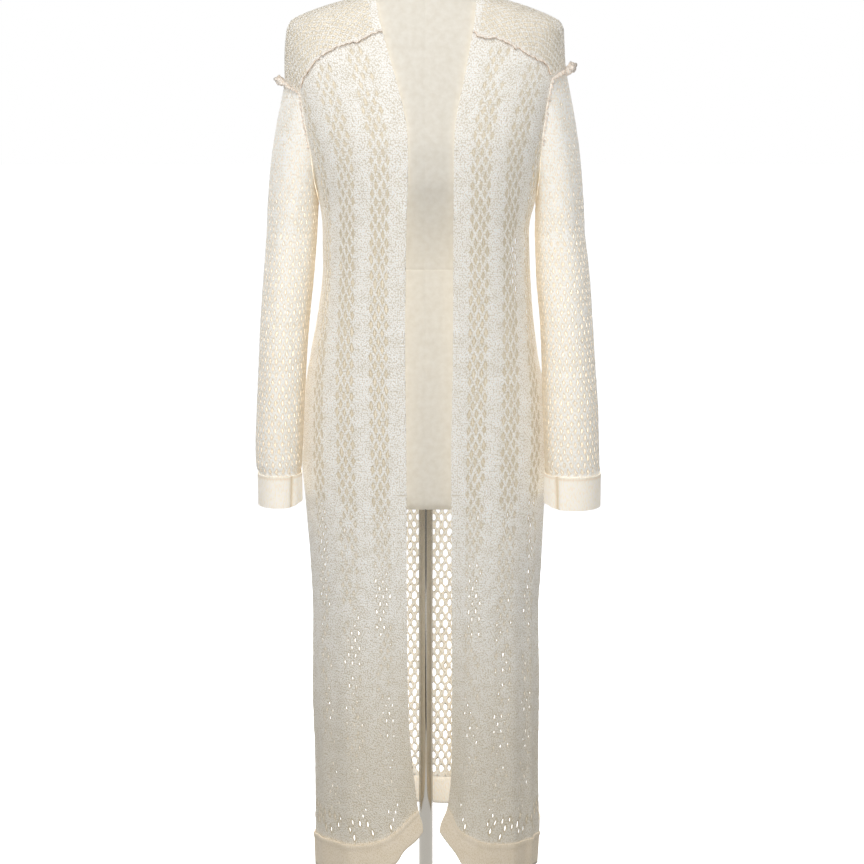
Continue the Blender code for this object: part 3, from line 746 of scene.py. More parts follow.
@dataclass(frozen=True)
class KnitYarn:
    """Matte cotton yarn, knitted: small rounded stitches, pale on top and warmer between them,
    with a soft bloom of loose fibre at grazing angles. A faint glow stands for the light that
    loose yarn lets through. The stitches are drawn about twice their real size, so that they
    show from a step away."""

    name: str
    light: str
    dark: str
    stitch_width: float
    stitch_height: float
    relief: float
    randomness: float = 0.85
    cloudiness: float = 0.018
    # The golden colour that painted shade tints the yarn towards, and the strength of a painted glow:
    # emission that stands for the light that the yarn lets through.
    warm: str = "#E6CDA2"
    glow: float = 0.20

    def material(self) -> bpy.types.Material:
        """The yarn as a material on the cloth's own UV map, in metres."""
        material, shader = new_material(self.name)
        tree = material.node_tree
        cloth = add_node(tree, "ShaderNodeUVMap", {"uv_map": "cloth"})
        scale = (1 / self.stitch_width, 1 / self.stitch_height, 1.0)
        stitches = add_node(
            tree, "ShaderNodeMapping", {"Scale": scale}, {"Vector": cloth.outputs["UV"]}
        )
        loops = add_node(
            tree,
            "ShaderNodeTexVoronoi",
            {"voronoi_dimensions": "2D", "Scale": 1.0, "Randomness": self.randomness},
            {"Vector": stitches.outputs["Vector"]},
        )
        cloud = add_node(
            tree,
            "ShaderNodeTexNoise",
            {"noise_dimensions": "2D", "Scale": 1 / self.cloudiness, "Detail": 3.0},
            {"Vector": cloth.outputs["UV"]},
        )
        mixed = add_node(
            tree,
            "ShaderNodeMath",
            {"operation": "MULTIPLY_ADD", 1: 0.45},
            {0: cloud.outputs["Fac"], 2: loops.outputs["Distance"]},
        )
        ramp = add_node(tree, "ShaderNodeValToRGB", {}, {"Fac": mixed.outputs["Value"]})
        ramp.color_ramp.elements[0].position = 0.42
        ramp.color_ramp.elements[0].color = hex_colour(self.light)
        ramp.color_ramp.elements[1].position = 0.92
        ramp.color_ramp.elements[1].color = hex_colour(self.dark)
        fibre = add_node(
            tree,
            "ShaderNodeTexNoise",
            {"noise_dimensions": "2D", "Scale": 3.0, "Detail": 4.0},
            {"Vector": stitches.outputs["Vector"]},
        )
        height = add_node(
            tree,
            "ShaderNodeMath",
            {"operation": "MULTIPLY_ADD", 1: -1.6},
            {0: loops.outputs["Distance"], 2: fibre.outputs["Fac"]},
        )
        bump = add_node(
            tree,
            "ShaderNodeBump",
            {"Strength": 1.0, "Distance": self.relief},
            {"Height": height.outputs["Value"]},
        )
        # Painted shade: a layer on the mesh tints the yarn darker and golden where shade falls, and dims
        # its painted glow there.
        warmth = add_node(tree, "ShaderNodeAttribute", {"attribute_name": "warmth"})
        square = add_node(
            tree,
            "ShaderNodeMath",
            {"operation": "MULTIPLY"},
            {0: warmth.outputs["Fac"], 1: warmth.outputs["Fac"]},
        )
        tone = add_node(
            tree,
            "ShaderNodeMix",
            {"data_type": "RGBA", 7: hex_colour(self.warm)},
            {0: square.outputs["Value"], 6: ramp.outputs["Color"]},
        )
        glow = add_node(
            tree,
            "ShaderNodeMath",
            {"operation": "MULTIPLY_ADD", 1: -self.glow, 2: self.glow},
            {0: square.outputs["Value"]},
        )
        shader.inputs["Roughness"].default_value = 0.88
        shader.inputs["Specular IOR Level"].default_value = 0.25
        shader.inputs["Sheen Weight"].default_value = 0.15
        shader.inputs["Sheen Roughness"].default_value = 0.5
        tree.links.new(tone.outputs[2], shader.inputs["Base Color"])
        tree.links.new(tone.outputs[2], shader.inputs["Emission Color"])
        tree.links.new(glow.outputs["Value"], shader.inputs["Emission Strength"])
        tree.links.new(bump.outputs["Normal"], shader.inputs["Normal"])
        return material


@dataclass(frozen=True)
class PlainLinen:
    """Plain-woven natural linen, stretched over the form: square threads with slubs, dull and
    slightly uneven. Its threads are drawn at three times their real size."""

    name: str = "woven_linen_cover"
    light: str = "#E7E2D7"
    dark: str = "#DCD5C7"
    thread: float = 0.0012
    slub: float = 0.009

    def material(self) -> bpy.types.Material:
        """The linen as a material on the form's own UV map, in metres."""
        material, shader = new_material(self.name)
        tree = material.node_tree
        cloth = add_node(tree, "ShaderNodeUVMap", {"uv_map": "cloth"})
        threads = []
        for direction in ("X", "Y"):
            threads.append(
                add_node(
                    tree,
                    "ShaderNodeTexWave",
                    {
                        "wave_type": "BANDS",
                        "bands_direction": direction,
                        "Scale": 2 * math.pi / (WAVE_BANDS * self.thread),
                        "Distortion": 1.2,
                        "Detail": 2.0,
                        "Detail Scale": 1.5,
                    },
                    {"Vector": cloth.outputs["UV"]},
                )
            )
        weave = add_node(
            tree,
            "ShaderNodeMath",
            {"operation": "MULTIPLY"},
            {0: threads[0].outputs["Fac"], 1: threads[1].outputs["Fac"]},
        )
        slubs = add_node(
            tree,
            "ShaderNodeTexNoise",
            {"noise_dimensions": "2D", "Scale": 1 / self.slub, "Detail": 5.0},
            {"Vector": cloth.outputs["UV"]},
        )
        tone = add_node(
            tree,
            "ShaderNodeMath",
            {"operation": "MULTIPLY_ADD", 1: 0.35},
            {0: weave.outputs["Value"], 2: slubs.outputs["Fac"]},
        )
        ramp = add_node(tree, "ShaderNodeValToRGB", {}, {"Fac": tone.outputs["Value"]})
        ramp.color_ramp.elements[0].position = 0.3
        ramp.color_ramp.elements[0].color = hex_colour(self.dark)
        ramp.color_ramp.elements[1].position = 0.9
        ramp.color_ramp.elements[1].color = hex_colour(self.light)
        bump = add_node(
            tree,
            "ShaderNodeBump",
            {"Strength": 0.35, "Distance": 0.0003},
            {"Height": weave.outputs["Value"]},
        )
        shader.inputs["Roughness"].default_value = 0.85
        shader.inputs["Specular IOR Level"].default_value = 0.3
        shader.inputs["Sheen Weight"].default_value = 0.15
        tree.links.new(ramp.outputs["Color"], shader.inputs["Base Color"])
        tree.links.new(bump.outputs["Normal"], shader.inputs["Normal"])
        return material


@dataclass(frozen=True)
class PolishedSteel:
    """Chromed steel tube, polished: mirror bright, with faint lengthwise drawing lines."""

    name: str = "chromed_steel_tube"
    colour: str = "#B4B0A8"
    line: float = 0.0015

    def material(self) -> bpy.types.Material:
        """The chrome as a material on Object coordinates."""
        material, shader = new_material(self.name)
        tree = material.node_tree
        place = add_node(tree, "ShaderNodeTexCoord")
        drawn = add_node(
            tree,
            "ShaderNodeMapping",
            {"Scale": (1 / self.line, 1 / self.line, 3.0)},
            {"Vector": place.outputs["Object"]},
        )
        lines = add_node(
            tree, "ShaderNodeTexNoise", {"Scale": 1.0, "Detail": 2.0}, {"Vector": drawn.outputs["Vector"]}
        )
        gloss = add_node(
            tree,
            "ShaderNodeMapRange",
            {"To Min": 0.06, "To Max": 0.16},
            {"Value": lines.outputs["Fac"]},
        )
        shader.inputs["Base Color"].default_value = hex_colour(self.colour)
        shader.inputs["Metallic"].default_value = 1.0
        tree.links.new(gloss.outputs["Result"], shader.inputs["Roughness"])
        return material


@dataclass(frozen=True)
class BrushedSteel:
    """Mild steel plate, brushed and lacquered: satin, with fine uneven brush marks."""

    name: str = "brushed_steel_plate"
    light: str = "#B9B9B7"
    dark: str = "#9C9C9B"
    mark: float = 0.0012

    def material(self) -> bpy.types.Material:
        """The steel as a material on Object coordinates."""
        material, shader = new_material(self.name)
        tree = material.node_tree
        place = add_node(tree, "ShaderNodeTexCoord")
        brushed = add_node(
            tree,
            "ShaderNodeMapping",
            {"Scale": (8.0, 1 / self.mark, 1 / self.mark)},
            {"Vector": place.outputs["Object"]},
        )
        marks = add_node(
            tree, "ShaderNodeTexNoise", {"Scale": 1.0, "Detail": 4.0}, {"Vector": brushed.outputs["Vector"]}
        )
        ramp = add_node(tree, "ShaderNodeValToRGB", {}, {"Fac": marks.outputs["Fac"]})
        ramp.color_ramp.elements[0].position = 0.3
        ramp.color_ramp.elements[0].color = hex_colour(self.dark)
        ramp.color_ramp.elements[1].position = 0.7
        ramp.color_ramp.elements[1].color = hex_colour(self.light)
        gloss = add_node(
            tree,
            "ShaderNodeMapRange",
            {"To Min": 0.28, "To Max": 0.42},
            {"Value": marks.outputs["Fac"]},
        )
        bump = add_node(
            tree,
            "ShaderNodeBump",
            {"Strength": 0.15, "Distance": 0.0001},
            {"Height": marks.outputs["Fac"]},
        )
        shader.inputs["Metallic"].default_value = 1.0
        tree.links.new(ramp.outputs["Color"], shader.inputs["Base Color"])
        tree.links.new(gloss.outputs["Result"], shader.inputs["Roughness"])
        tree.links.new(bump.outputs["Normal"], shader.inputs["Normal"])
        return material


MESH_YARN = KnitYarn(
    "cotton_mesh_knit", "#F8F6F1", "#D8D0C0", 0.0022, 0.0026, 0.0006, warm="#CDBB96", glow=0.145
)
LOOSE_YARN = KnitYarn("cotton_loose_knit", "#F9F7F2", "#E8E1D2", 0.0016, 0.0040, 0.0004, glow=0.16)
PLAIN_YARN = KnitYarn("cotton_plain_knit", "#F0E8DC", "#DED3BF", 0.0013, 0.0030, 0.0002, 1.0, glow=0.13)
CUFF_YARN = KnitYarn("cotton_cuff_knit", "#F6F0E5", "#EEE5D5", 0.0013, 0.0060, 0.0002, 1.0, glow=0.21)
EDGE_YARN = KnitYarn(
    "cotton_curled_edge", "#F6EFE6", "#E2D0BC", 0.0016, 0.0016, 0.0005, warm="#B99468"
)
LINEN = PlainLinen()
CHROME = PolishedSteel()
STEEL = BrushedSteel()


def show_piece(
    mesh: bpy.types.Mesh, material: bpy.types.Material, nodes: Sequence[str]
) -> bpy.types.Object:
    """Puts a finished mesh in the scene in place of its solids.

    Args:
        mesh: the piece's mesh, in place.
        material: its finish.
        nodes: the solids that it stands for.

    Returns:
        The piece.
    """
    mesh.materials.append(material)
    mesh.shade_smooth()
    piece = bpy.data.objects.new(mesh.name, mesh)
    bpy.context.scene.collection.objects.link(piece)
    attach(piece, ROOT)
    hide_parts(*nodes)
    logging.info("%s: %d faces", piece.name, len(mesh.polygons))
    return piece


def mesh_places(mesh: bpy.types.Mesh) -> np.ndarray:
    """A mesh's points as an array, count x 3."""
    places = np.empty(len(mesh.vertices) * 3, np.float32)
    mesh.vertices.foreach_get("co", places)
    return places.reshape(-1, 3)


def place_mesh(mesh: bpy.types.Mesh, points: np.ndarray, flat: np.ndarray) -> None:
    """Moves a mesh's points and keeps their flat places as its UV map, in metres.

    Args:
        mesh: the mesh.
        points: count x 3 points.
        flat: count x 2 places on the flat cloth.
    """
    corners = np.empty(len(mesh.loops), np.int32)
    mesh.loops.foreach_get("vertex_index", corners)
    uv_map = mesh.uv_layers.new(name="cloth")
    uv_map.data.foreach_set("uv", flat[corners].astype(np.float32).ravel())
    mesh.vertices.foreach_set("co", points.astype(np.float32).ravel())
    mesh.update()


class Size(NamedTuple):
    """How wide and high a net's holes are at a place on the flat cloth, as shares of the
    pattern's, and the odds that a diamond has one."""

    place: float
    width: float
    height: float
    odds: float


@dataclass(frozen=True)
class MeshPattern:
    """How a net is knitted: diamonds of yarn in columns, some round a hole and some closed.

    The columns are counted from the flat cloth's start. A repeat is a run of open columns, then a
    run of closed ones. Past the last counted column, all are closed. Low down, below a place on
    the flat cloth, the holes are scattered over every column.
    """

    half_width: float
    half_height: float
    hole_width: float
    hole_height: float
    closed_first: int = 0
    open_run: int = 1
    closed_run: int = 0
    columns: int = 1000
    scattered_below: float = 0.0
    sizes: tuple[Size, ...] = (Size(0.0, 1.0, 1.0, 1.0),)

    def hole(self, column: int, place: float, luck: float) -> tuple[float, float]:
        """The size of a diamond's hole, as shares of the pattern's, or 0 where it is closed.

        Args:
            column: the diamond's column.
            place: how far up the flat cloth it is.
            luck: a chance value from 0 to 1.

        Returns:
            The shares of its width and height.
        """
        count = abs(column) - self.closed_first
        closed = count % (self.open_run + self.closed_run) >= self.open_run
        beyond = count < 0 or abs(column) >= self.columns
        if place > self.scattered_below and (closed or beyond):
            return 0.0, 0.0
        places, *columns = zip(*self.sizes)
        width, height, odds = (float(np.interp(place, places, column)) for column in columns)
        return (width, height) if luck <= odds else (0.0, 0.0)


@dataclass
class MeshKnit:
    """A net of yarn, knitted flat to a patch's outline and then laid on its worn shape."""

    pattern: MeshPattern
    seed: int
    crest: float = 0.0008
    uneven: float = 0.0004
    bulge_across: float = 0.50
    bulge_up: float = 0.22
    slant: float = 0.0004
    closed_dip: float = 0.55
    rim_warmth: float = 0.55
    sharp_rims: bool = True

    def knit(self, name: str, patch: Patch) -> bpy.types.Mesh:
        """Knits a closed mesh of rounded strands.

        Args:
            name: the piece's name.
            patch: its outline and worn shape.

        Returns:
            The mesh, in place.
        """
        net = self.diamonds(patch)
        net.verts.layers.float.new("warmth")
        self.fit(net, patch)
        self.open_holes(net)
        self.close_underside(net, patch)
        mesh = bpy.data.meshes.new(name)
        net.to_mesh(mesh)
        net.free()
        flat = mesh_places(mesh)
        points, warmth = patch.lay(flat.astype(float))
        place_mesh(mesh, points, flat[:, :2])
        # Each point keeps the stronger of two painted shades: on the holes' rims, and from the patch.
        rims = np.empty(len(flat), np.float32)
        mesh.attributes["warmth"].data.foreach_get("value", rims)
        mesh.attributes["warmth"].data.foreach_set("value", np.maximum(rims, warmth))
        return mesh

    def diamonds(self, patch: Patch) -> bmesh.types.BMesh:
        """A flat field of diamonds that covers a patch, each with its column and row number."""
        a, b = self.pattern.half_width, self.pattern.half_height
        across, up = patch.high - patch.low
        count = 2 * math.ceil((across / a + up / b) / 4 + 1)
        net = bmesh.new()
        bmesh.ops.create_grid(net, x_segments=count, y_segments=count, size=count / 2)
        quarter = Matrix.Rotation(math.pi / 4, 3, "Z")
        bmesh.ops.rotate(net, verts=net.verts, cent=(0.0, 0.0, 0.0), matrix=quarter)
        root_two = math.sqrt(2)
        bmesh.ops.scale(net, verts=net.verts, vec=(a * root_two, b * root_two, 1.0))
        middle = (patch.low + patch.high) / 2
        start = (round(middle[0] / a) * a, round(middle[1] / b) * b, 0.0)
        bmesh.ops.translate(net, verts=net.verts, vec=start)
        column, row = (net.faces.layers.int.new(word) for word in ("column", "row"))
        for face in net.faces:
            centre = face.calc_center_median()
            face[column], face[row] = round(centre.x / a), round(centre.y / b)
        return net

    def fit(self, net: bmesh.types.BMesh, patch: Patch) -> None:
        """Trims the field to the patch's outline and makes its crossings uneven."""
        chance = np.random.default_rng(self.seed)
        places = np.array([vert.co[:2] for vert in net.verts])
        nearest, _, away = patch.nearest(places)
        for vert, place, off in zip(net.verts, nearest, away):
            vert.tag = bool(off > 1e-6)
            if vert.tag:
                vert.co = (*place, 0.0)
        beyond = [face for face in net.faces if all(vert.tag for vert in face.verts)]
        bmesh.ops.delete(net, geom=beyond, context="FACES")
        rim = [vert for vert in net.verts if vert.tag]
        for corner in patch.corners:
            spot = Vector((*corner, 0.0))
            closest = min(rim, key=lambda vert: (vert.co - spot).length_squared)
            if (closest.co - spot).length < self.pattern.half_height:
                closest.co = spot
        for vert in net.verts:
            x, y = chance.normal(0.0, self.uneven, 2)
            if not vert.is_boundary:
                vert.co += Vector((x, y, 0.0))

    def open_holes(self, net: bmesh.types.BMesh) -> None:
        """Opens the holes, and rounds the strands and the closed diamonds."""
        pattern = self.pattern
        column = net.faces.layers.int["column"]
        row = net.faces.layers.int["row"]
        warmth = net.verts.layers.float["warmth"]
        chance = np.random.default_rng(self.seed + 1)
        open_faces = []
        for face in net.faces:
            shares = pattern.hole(face[column], face.calc_center_median().y, chance.random())
            if min(shares) > 0.2 and not any(vert.is_boundary for vert in face.verts):
                open_faces.append((face, shares))
        for vert in net.verts:
            vert.tag = True
        bmesh.ops.bisect_edges(net, edges=net.edges[:], cuts=1)
        for vert in net.verts:
            top = self.crest if vert.tag else 0.85 * self.crest
            vert.co.z = 0.0 if vert.is_boundary else top * (1 + 0.2 * chance.normal())
        faces = [face for face, _ in open_faces]
        bmesh.ops.inset_individual(net, faces=faces, thickness=1e-5)
        for face, (wide, high) in open_faces:
            middle = Vector((face[column] * pattern.half_width, face[row] * pattern.half_height))
            middle += Vector(chance.normal(0.0, self.uneven / 2, 2))
            size = 1 + 0.12 * chance.normal()
            slant = self.slant * chance.normal()
            for vert in face.verts:
                x = (vert.co.x - middle.x) / pattern.half_width
                y = (vert.co.y - middle.y) / pattern.half_height
                bulge = 4 * abs(x * y)
                across = wide * pattern.hole_width / 2 * x * size * (1 + self.bulge_across * bulge)
                up = high * pattern.hole_height / 2 * y * size * (1 + self.bulge_up * bulge)
                across += slant * y
                vert.co = (middle.x + across, middle.y + up, 0.0)
                # Painted shade, darker and golden, on the hole's rim, where the strands shade the hole.
                vert[warmth] = self.rim_warmth * min(wide, 1.0)
        bmesh.ops.delete(net, geom=faces, context="FACES_ONLY")
        closed = [face for face in net.faces if len(face.verts) > 4]
        domes = bmesh.ops.poke(net, faces=closed)
        for vert in domes["verts"]:
            vert.co.z = self.crest * self.closed_dip * (1 + 0.25 * chance.normal())

    def close_underside(self, net: bmesh.types.BMesh, patch: Patch) -> None:
        """Mirrors the net's face to its underside and joins the two at every rim."""
        copied = bmesh.ops.duplicate(net, geom=net.verts[:] + net.edges[:] + net.faces[:])
        under = [part for part in copied["geom"] if isinstance(part, bmesh.types.BMVert)]
        turned = [part for part in copied["geom"] if isinstance(part, bmesh.types.BMFace)]
        for vert in under:
            vert.co.z = -vert.co.z
        bmesh.ops.reverse_faces(net, faces=turned)
        bmesh.ops.remove_doubles(net, verts=net.verts[:], dist=1e-6)
        bmesh.ops.dissolve_degenerate(net, edges=net.edges[:], dist=1e-6)
        if not patch.faces_out():
            bmesh.ops.reverse_faces(net, faces=net.faces[:])


def plain_sheet(name: str, patch: Patch, thickness: float = 0.0018, closed: bool = False) -> bpy.types.Mesh:
    """A plain strip or tube of cloth with two faces, from a patch's own grid.

    Args:
        name: the piece's name.
        patch: its grid.
        thickness: the cloth's thickness, inwards from the outer face.
        closed: whether its first and last columns meet, as on a tube.

    Returns:
        The mesh, in place.
    """
    rows, columns = patch.grid.shape[:2]
    sheet = bmesh.new()
    bmesh.ops.create_grid(sheet, x_segments=columns - 1, y_segments=rows - 1, size=0.5)
    sheet.verts.index_update()
    flat = sheet.loops.layers.uv.new("cloth")
    for vert in sheet.verts:
        c = round((vert.co.x + 0.5) * (columns - 1))
        r = round((vert.co.y + 0.5) * (rows - 1))
        vert.index = r * columns + c
    for face in sheet.faces:
        for loop in face.loops:
            loop[flat].uv = patch.flat[loop.vert.index]
    warmth = sheet.verts.layers.float.new("warmth")
    for vert in sheet.verts:
        vert.co = patch.worn[vert.index]
        vert[warmth] = patch.warmth[vert.index]
    if closed:
        bmesh.ops.remove_doubles(sheet, verts=sheet.verts[:], dist=1e-5)
    if not patch.faces_out():
        bmesh.ops.reverse_faces(sheet, faces=sheet.faces[:])
    bmesh.ops.solidify(sheet, geom=sheet.faces[:], thickness=thickness)
    mesh = bpy.data.meshes.new(name)
    sheet.to_mesh(mesh)
    sheet.free()
    return mesh


@dataclass
class Cardigan:
    """The knitted cardigan: its body panels, yoke, sleeves, cuffs, hem bands and curled edges."""

    rows: int = 150
    columns: int = 48
    band_rows: int = 14
    ridge_out: float = 0.0012
    ridge_share: float = 0.12
    wander: float = 0.0013
    frill: float = 0.75

    def __post_init__(self) -> None:
        """Makes the two yarn finishes once."""
        self.mesh_yarn = MESH_YARN.material()
        self.loose_yarn = LOOSE_YARN.material()
        self.plain_yarn = PLAIN_YARN.material()
        self.cuff_yarn = CUFF_YARN.material()
        self.edge_yarn = EDGE_YARN.material()

    def panel(
        self, place: Any, top: np.ndarray, bottom: np.ndarray, shares: np.ndarray, edge: float
    ) -> Patch:
        """A body panel's patch, between two seams.

        Args:
            place: gives turn and height from share and height.
            top: the upper seam's height at each share.
            bottom: the lower seam's height.
            shares: the columns.
            edge: how much painted shade, darker and golden, the cloth carries low down, at a share of 0.

        Returns:
            The patch. Across is measured from the first column, or from a share of 0.
        """
        down = np.linspace(0.0, 1.0, self.rows)[:, None]
        heights = blend(top, bottom, down)
        turns, heights = place(shares[None, :], heights)
        points = WORN.at(turns, heights)
        level_runs = run_lengths(points, 1)
        middle = int(np.argmin(np.abs(shares)))
        across = level_runs - level_runs[:, middle : middle + 1]
        flat = np.stack([across, heights], axis=-1)
        # Painted shade, darker and golden: near the sides at the underarm, and low down, where less light
        # falls, the more so near the front edge.
        near_side = eased((np.abs(shares) - 0.8) / 0.2)[None, :]
        near_arm = np.exp(-(((heights - UNDERARM - 0.02) / 0.045) ** 2))
        warmth = UNDERARM_SHADE * near_side * near_arm
        low = eased((0.80 - heights) / 0.5)
        near_edge = eased((0.12 - np.abs(shares)) / 0.12)
        warmth = np.maximum(warmth, low * blend(LOW_SHADE, edge, near_edge))
        return Patch(points, WORN.normal(turns, heights), flat, warmth=warmth)

    def front(self, side: Side) -> Patch:
        """A front's patch, from the yoke seam to the hem band."""
        shares = np.linspace(0.0, 1.0, self.columns)
        top = by_side(WORN.front_yoke_seam, shares, side.value) + SEAM_LAP
        bottom = by_side(WORN.front_band_seam, shares, side.value) - BAND_LAP
        place = partial(WORN.front_place, side=side.value)
        return self.panel(place, top, bottom, shares, EDGE_SHADE)

    def back(self) -> Patch:
        """The back's patch, from the yoke seam to the hem band."""
        shares = np.linspace(-1.0, 1.0, 2 * self.columns + 1)
        top = by_side(WORN.back_yoke_seam, np.abs(shares), shares) + SEAM_LAP
        bottom = by_side(WORN.back_band_seam, np.abs(shares), shares) - BAND_LAP
        return self.panel(WORN.back_place, top, bottom, shares, 0.0)

    def yoke(self) -> Patch:
        """The yoke's patch. Up on the flat cloth is the way along the shoulders, towards the
        wearer's left, and across is over the shoulder, from the front to the back."""
        over = np.linspace(-1.0, 1.0, 41)
        share = np.linspace(1.0, 0.0, 33)
        neck = np.linspace(-1.0, 1.0, 21)[1:-1]
        right = WORN.shoulder_place(share[:, None], over[None, :], -1.0)
        strip = WORN.neck_place(neck[:, None], np.abs(over)[None, :])
        left = WORN.shoulder_place(share[::-1, None], over[None, :], 1.0)
        turns, heights = (np.concatenate(parts) for parts in zip(right, strip, left))
        points = WORN.at(turns, heights)
        ridge = run_lengths(points[:, 20:21], 0)
        runs = run_lengths(points, 1)
        across = runs - runs[:, 20:21]
        up = np.broadcast_to(ridge - ridge[len(ridge) // 2], across.shape)
        missing = np.zeros((len(points) - 1, len(over) - 1), bool)
        missing[len(share) - 1 : len(share) + len(neck), :20] = True
        flat = np.stack([across, up], axis=-1)
        return Patch(points, WORN.normal(turns, heights), flat, missing)

    def armhole(self, side: Side, count: int) -> tuple[np.ndarray, np.ndarray, np.ndarray]:
        """The line of an armhole, from its top down the front and up the back.

        Args:
            side: the wearer's side.
            count: how many points, evenly spaced.

        Returns:
            The points, the directions out, and the directions onto the body.
        """
        halves = []
        for along, column in ((-1.0, "front"), (1.0, "back")):
            cap = WORN.shoulder_place(1.0, along * np.linspace(0.0, 1.0, 17), side.value)
            heights = np.linspace(cap[1][-1], UNDERARM, 49)[1:]
            turns = np.radians(WORN.armhole[column](heights))
            turns = side.value * (turns if along < 0 else np.pi - turns)
            halves.append((np.concatenate([cap[0], turns]), np.concatenate([cap[1], heights])))
        (front_turns, front_heights), (back_turns, back_heights) = halves
        turns = np.concatenate([front_turns, back_turns[-2:0:-1], front_turns[:1]])
        heights = np.concatenate([front_heights, back_heights[-2:0:-1], front_heights[:1]])
        line, out = WORN.at(turns, heights), WORN.normal(turns, heights)
        runs = run_lengths(line[None], 1)[0]
        wanted = np.linspace(0.0, runs[-1], count, endpoint=False)
        points, outs = (
            np.stack([np.interp(wanted, runs, values[:, k]) for k in range(3)], axis=-1)
            for values in (line, out)
        )
        outs = unit(outs)
        onto = unit(np.cross(np.roll(points, -1, axis=0) - np.roll(points, 1, axis=0), outs))
        return points, outs, onto * side.value

    def sleeve(self, side: Side) -> Patch:
        """A sleeve's patch, from the armhole to the cuff, open along its inner line."""
        around = 96
        turns = np.linspace(-np.pi, np.pi, around + 1)
        root, out, onto = self.armhole(side, around)
        root = root + onto * ARMHOLE_LAP
        order = np.arange(-around // 2, around // 2 + 1) % around
        table, cuff = curves(SLEEVES[side]), CUFFS[side]
        full, low = SLEEVES[side][0].height, cuff.top - BAND_LAP

        def ring(height: np.ndarray) -> np.ndarray:
            """Level rings of the sleeve's outer face, drawn in to the cuff at the lower end."""
            gathered = eased((low + GATHER_HEIGHT - height) / GATHER_HEIGHT)
            outer = blend(table["outer"](height), cuff.outer, gathered)
            inner = blend(table["inner"](height), cuff.inner, gathered)
            depth = blend(table["depth"](height), cuff.depth, gathered)
            pucker = GATHER_OUT * np.sin(np.pi * gathered) * np.sin(GATHER_WAVES * turns)
            middle, half = (outer + inner) / 2, (outer - inner) / 2 + pucker
            across = middle + half * np.cos(turns)
            deep = -table["forward"](height) - (depth + pucker) * np.sin(turns)
            return np.stack(np.broadcast_arrays(side.value * across, deep, height), axis=-1)

        cap = np.linspace(0.0, 1.0, 25)[:-1, None, None]
        heights = np.linspace(full, low, 90)[:, None]
        head = SLEEVE_HEAD_FULLNESS * np.sin(np.pi * cap) * (1 + np.cos(turns[None, :, None])) / 2
        upper = blend(root[order][None], ring(np.full((1, 1), full)), cap)
        upper = upper + head * np.array([side.value, 0.0, 0.0])
        points = np.concatenate([upper, ring(heights)])
        down = run_lengths(points, 0)
        up = full + down[len(cap)] - down
        runs = run_lengths(points[len(cap) :], 1)
        middle = around // 2
        across = runs - runs[:, middle : middle + 1]
        across = np.concatenate([np.broadcast_to(across[:1], upper.shape[:2]), across])
        centre = points.mean(axis=1, keepdims=True)
        flat = np.stack([across, up], axis=-1)
        # Painted shade, darker and golden, on the sleeve's inner side, which faces the body.
        warmth = eased((np.abs(np.degrees(turns)) - 128.0) / 30.0) * INNER_SHADE
        return Patch(points, grid_normals(points, centre), flat, warmth=warmth[None, :])

    def band(
        self, place: Any, top: np.ndarray, bottom: np.ndarray, shares: np.ndarray, warmth: float
    ) -> Patch:
        """A hem band's patch, with its rolled ridge along the seam.

        Args:
            place: gives turn and height from share and height.
            top: the band's upper edge at each share.
            bottom: its lower edge.
            shares: the columns.
            warmth: how much painted shade, darker and golden, the cloth carries.

        Returns:
            The patch.
        """
        down = np.linspace(0.0, 1.0, self.band_rows)[:, None]
        down = down**1.5
        turns, heights = place(shares[None, :], blend(top, bottom, down))
        points, normals = WORN.at(turns, heights), WORN.normal(turns, heights)
        ridge = np.exp(-(((down - self.ridge_share / 2) / (self.ridge_share / 2)) ** 2))
        points = points + normals * (self.ridge_out * ridge)[..., None]
        runs = run_lengths(points, 1)
        flat = np.stack([runs, heights], axis=-1)
        return Patch(points, normals, flat, warmth=np.array(warmth))

    def knitted(
        self, name: str, patch: Patch, knit: MeshKnit, yarn: bpy.types.Material, **sheet: Any
    ) -> bpy.types.Object:
        """Knits and dresses a panel.

        Args:
            name: the piece and its solid.
            patch: its outline and worn shape.
            knit: how it is knitted.
            yarn: its finish.
            sheet: how the cloth is held; not used.

        Returns:
            The piece.
        """
        logging.info("%s: flat %.3f x %.3f, area %.4f", name, *patch.size, patch.area)
        piece = show_piece(knit.knit(name + "_knit", patch), yarn, [name])
        if knit.sharp_rims:
            piece.data.set_sharp_from_angle(angle=math.radians(RIM_ANGLE))
        piece.visible_shadow = False
        return piece

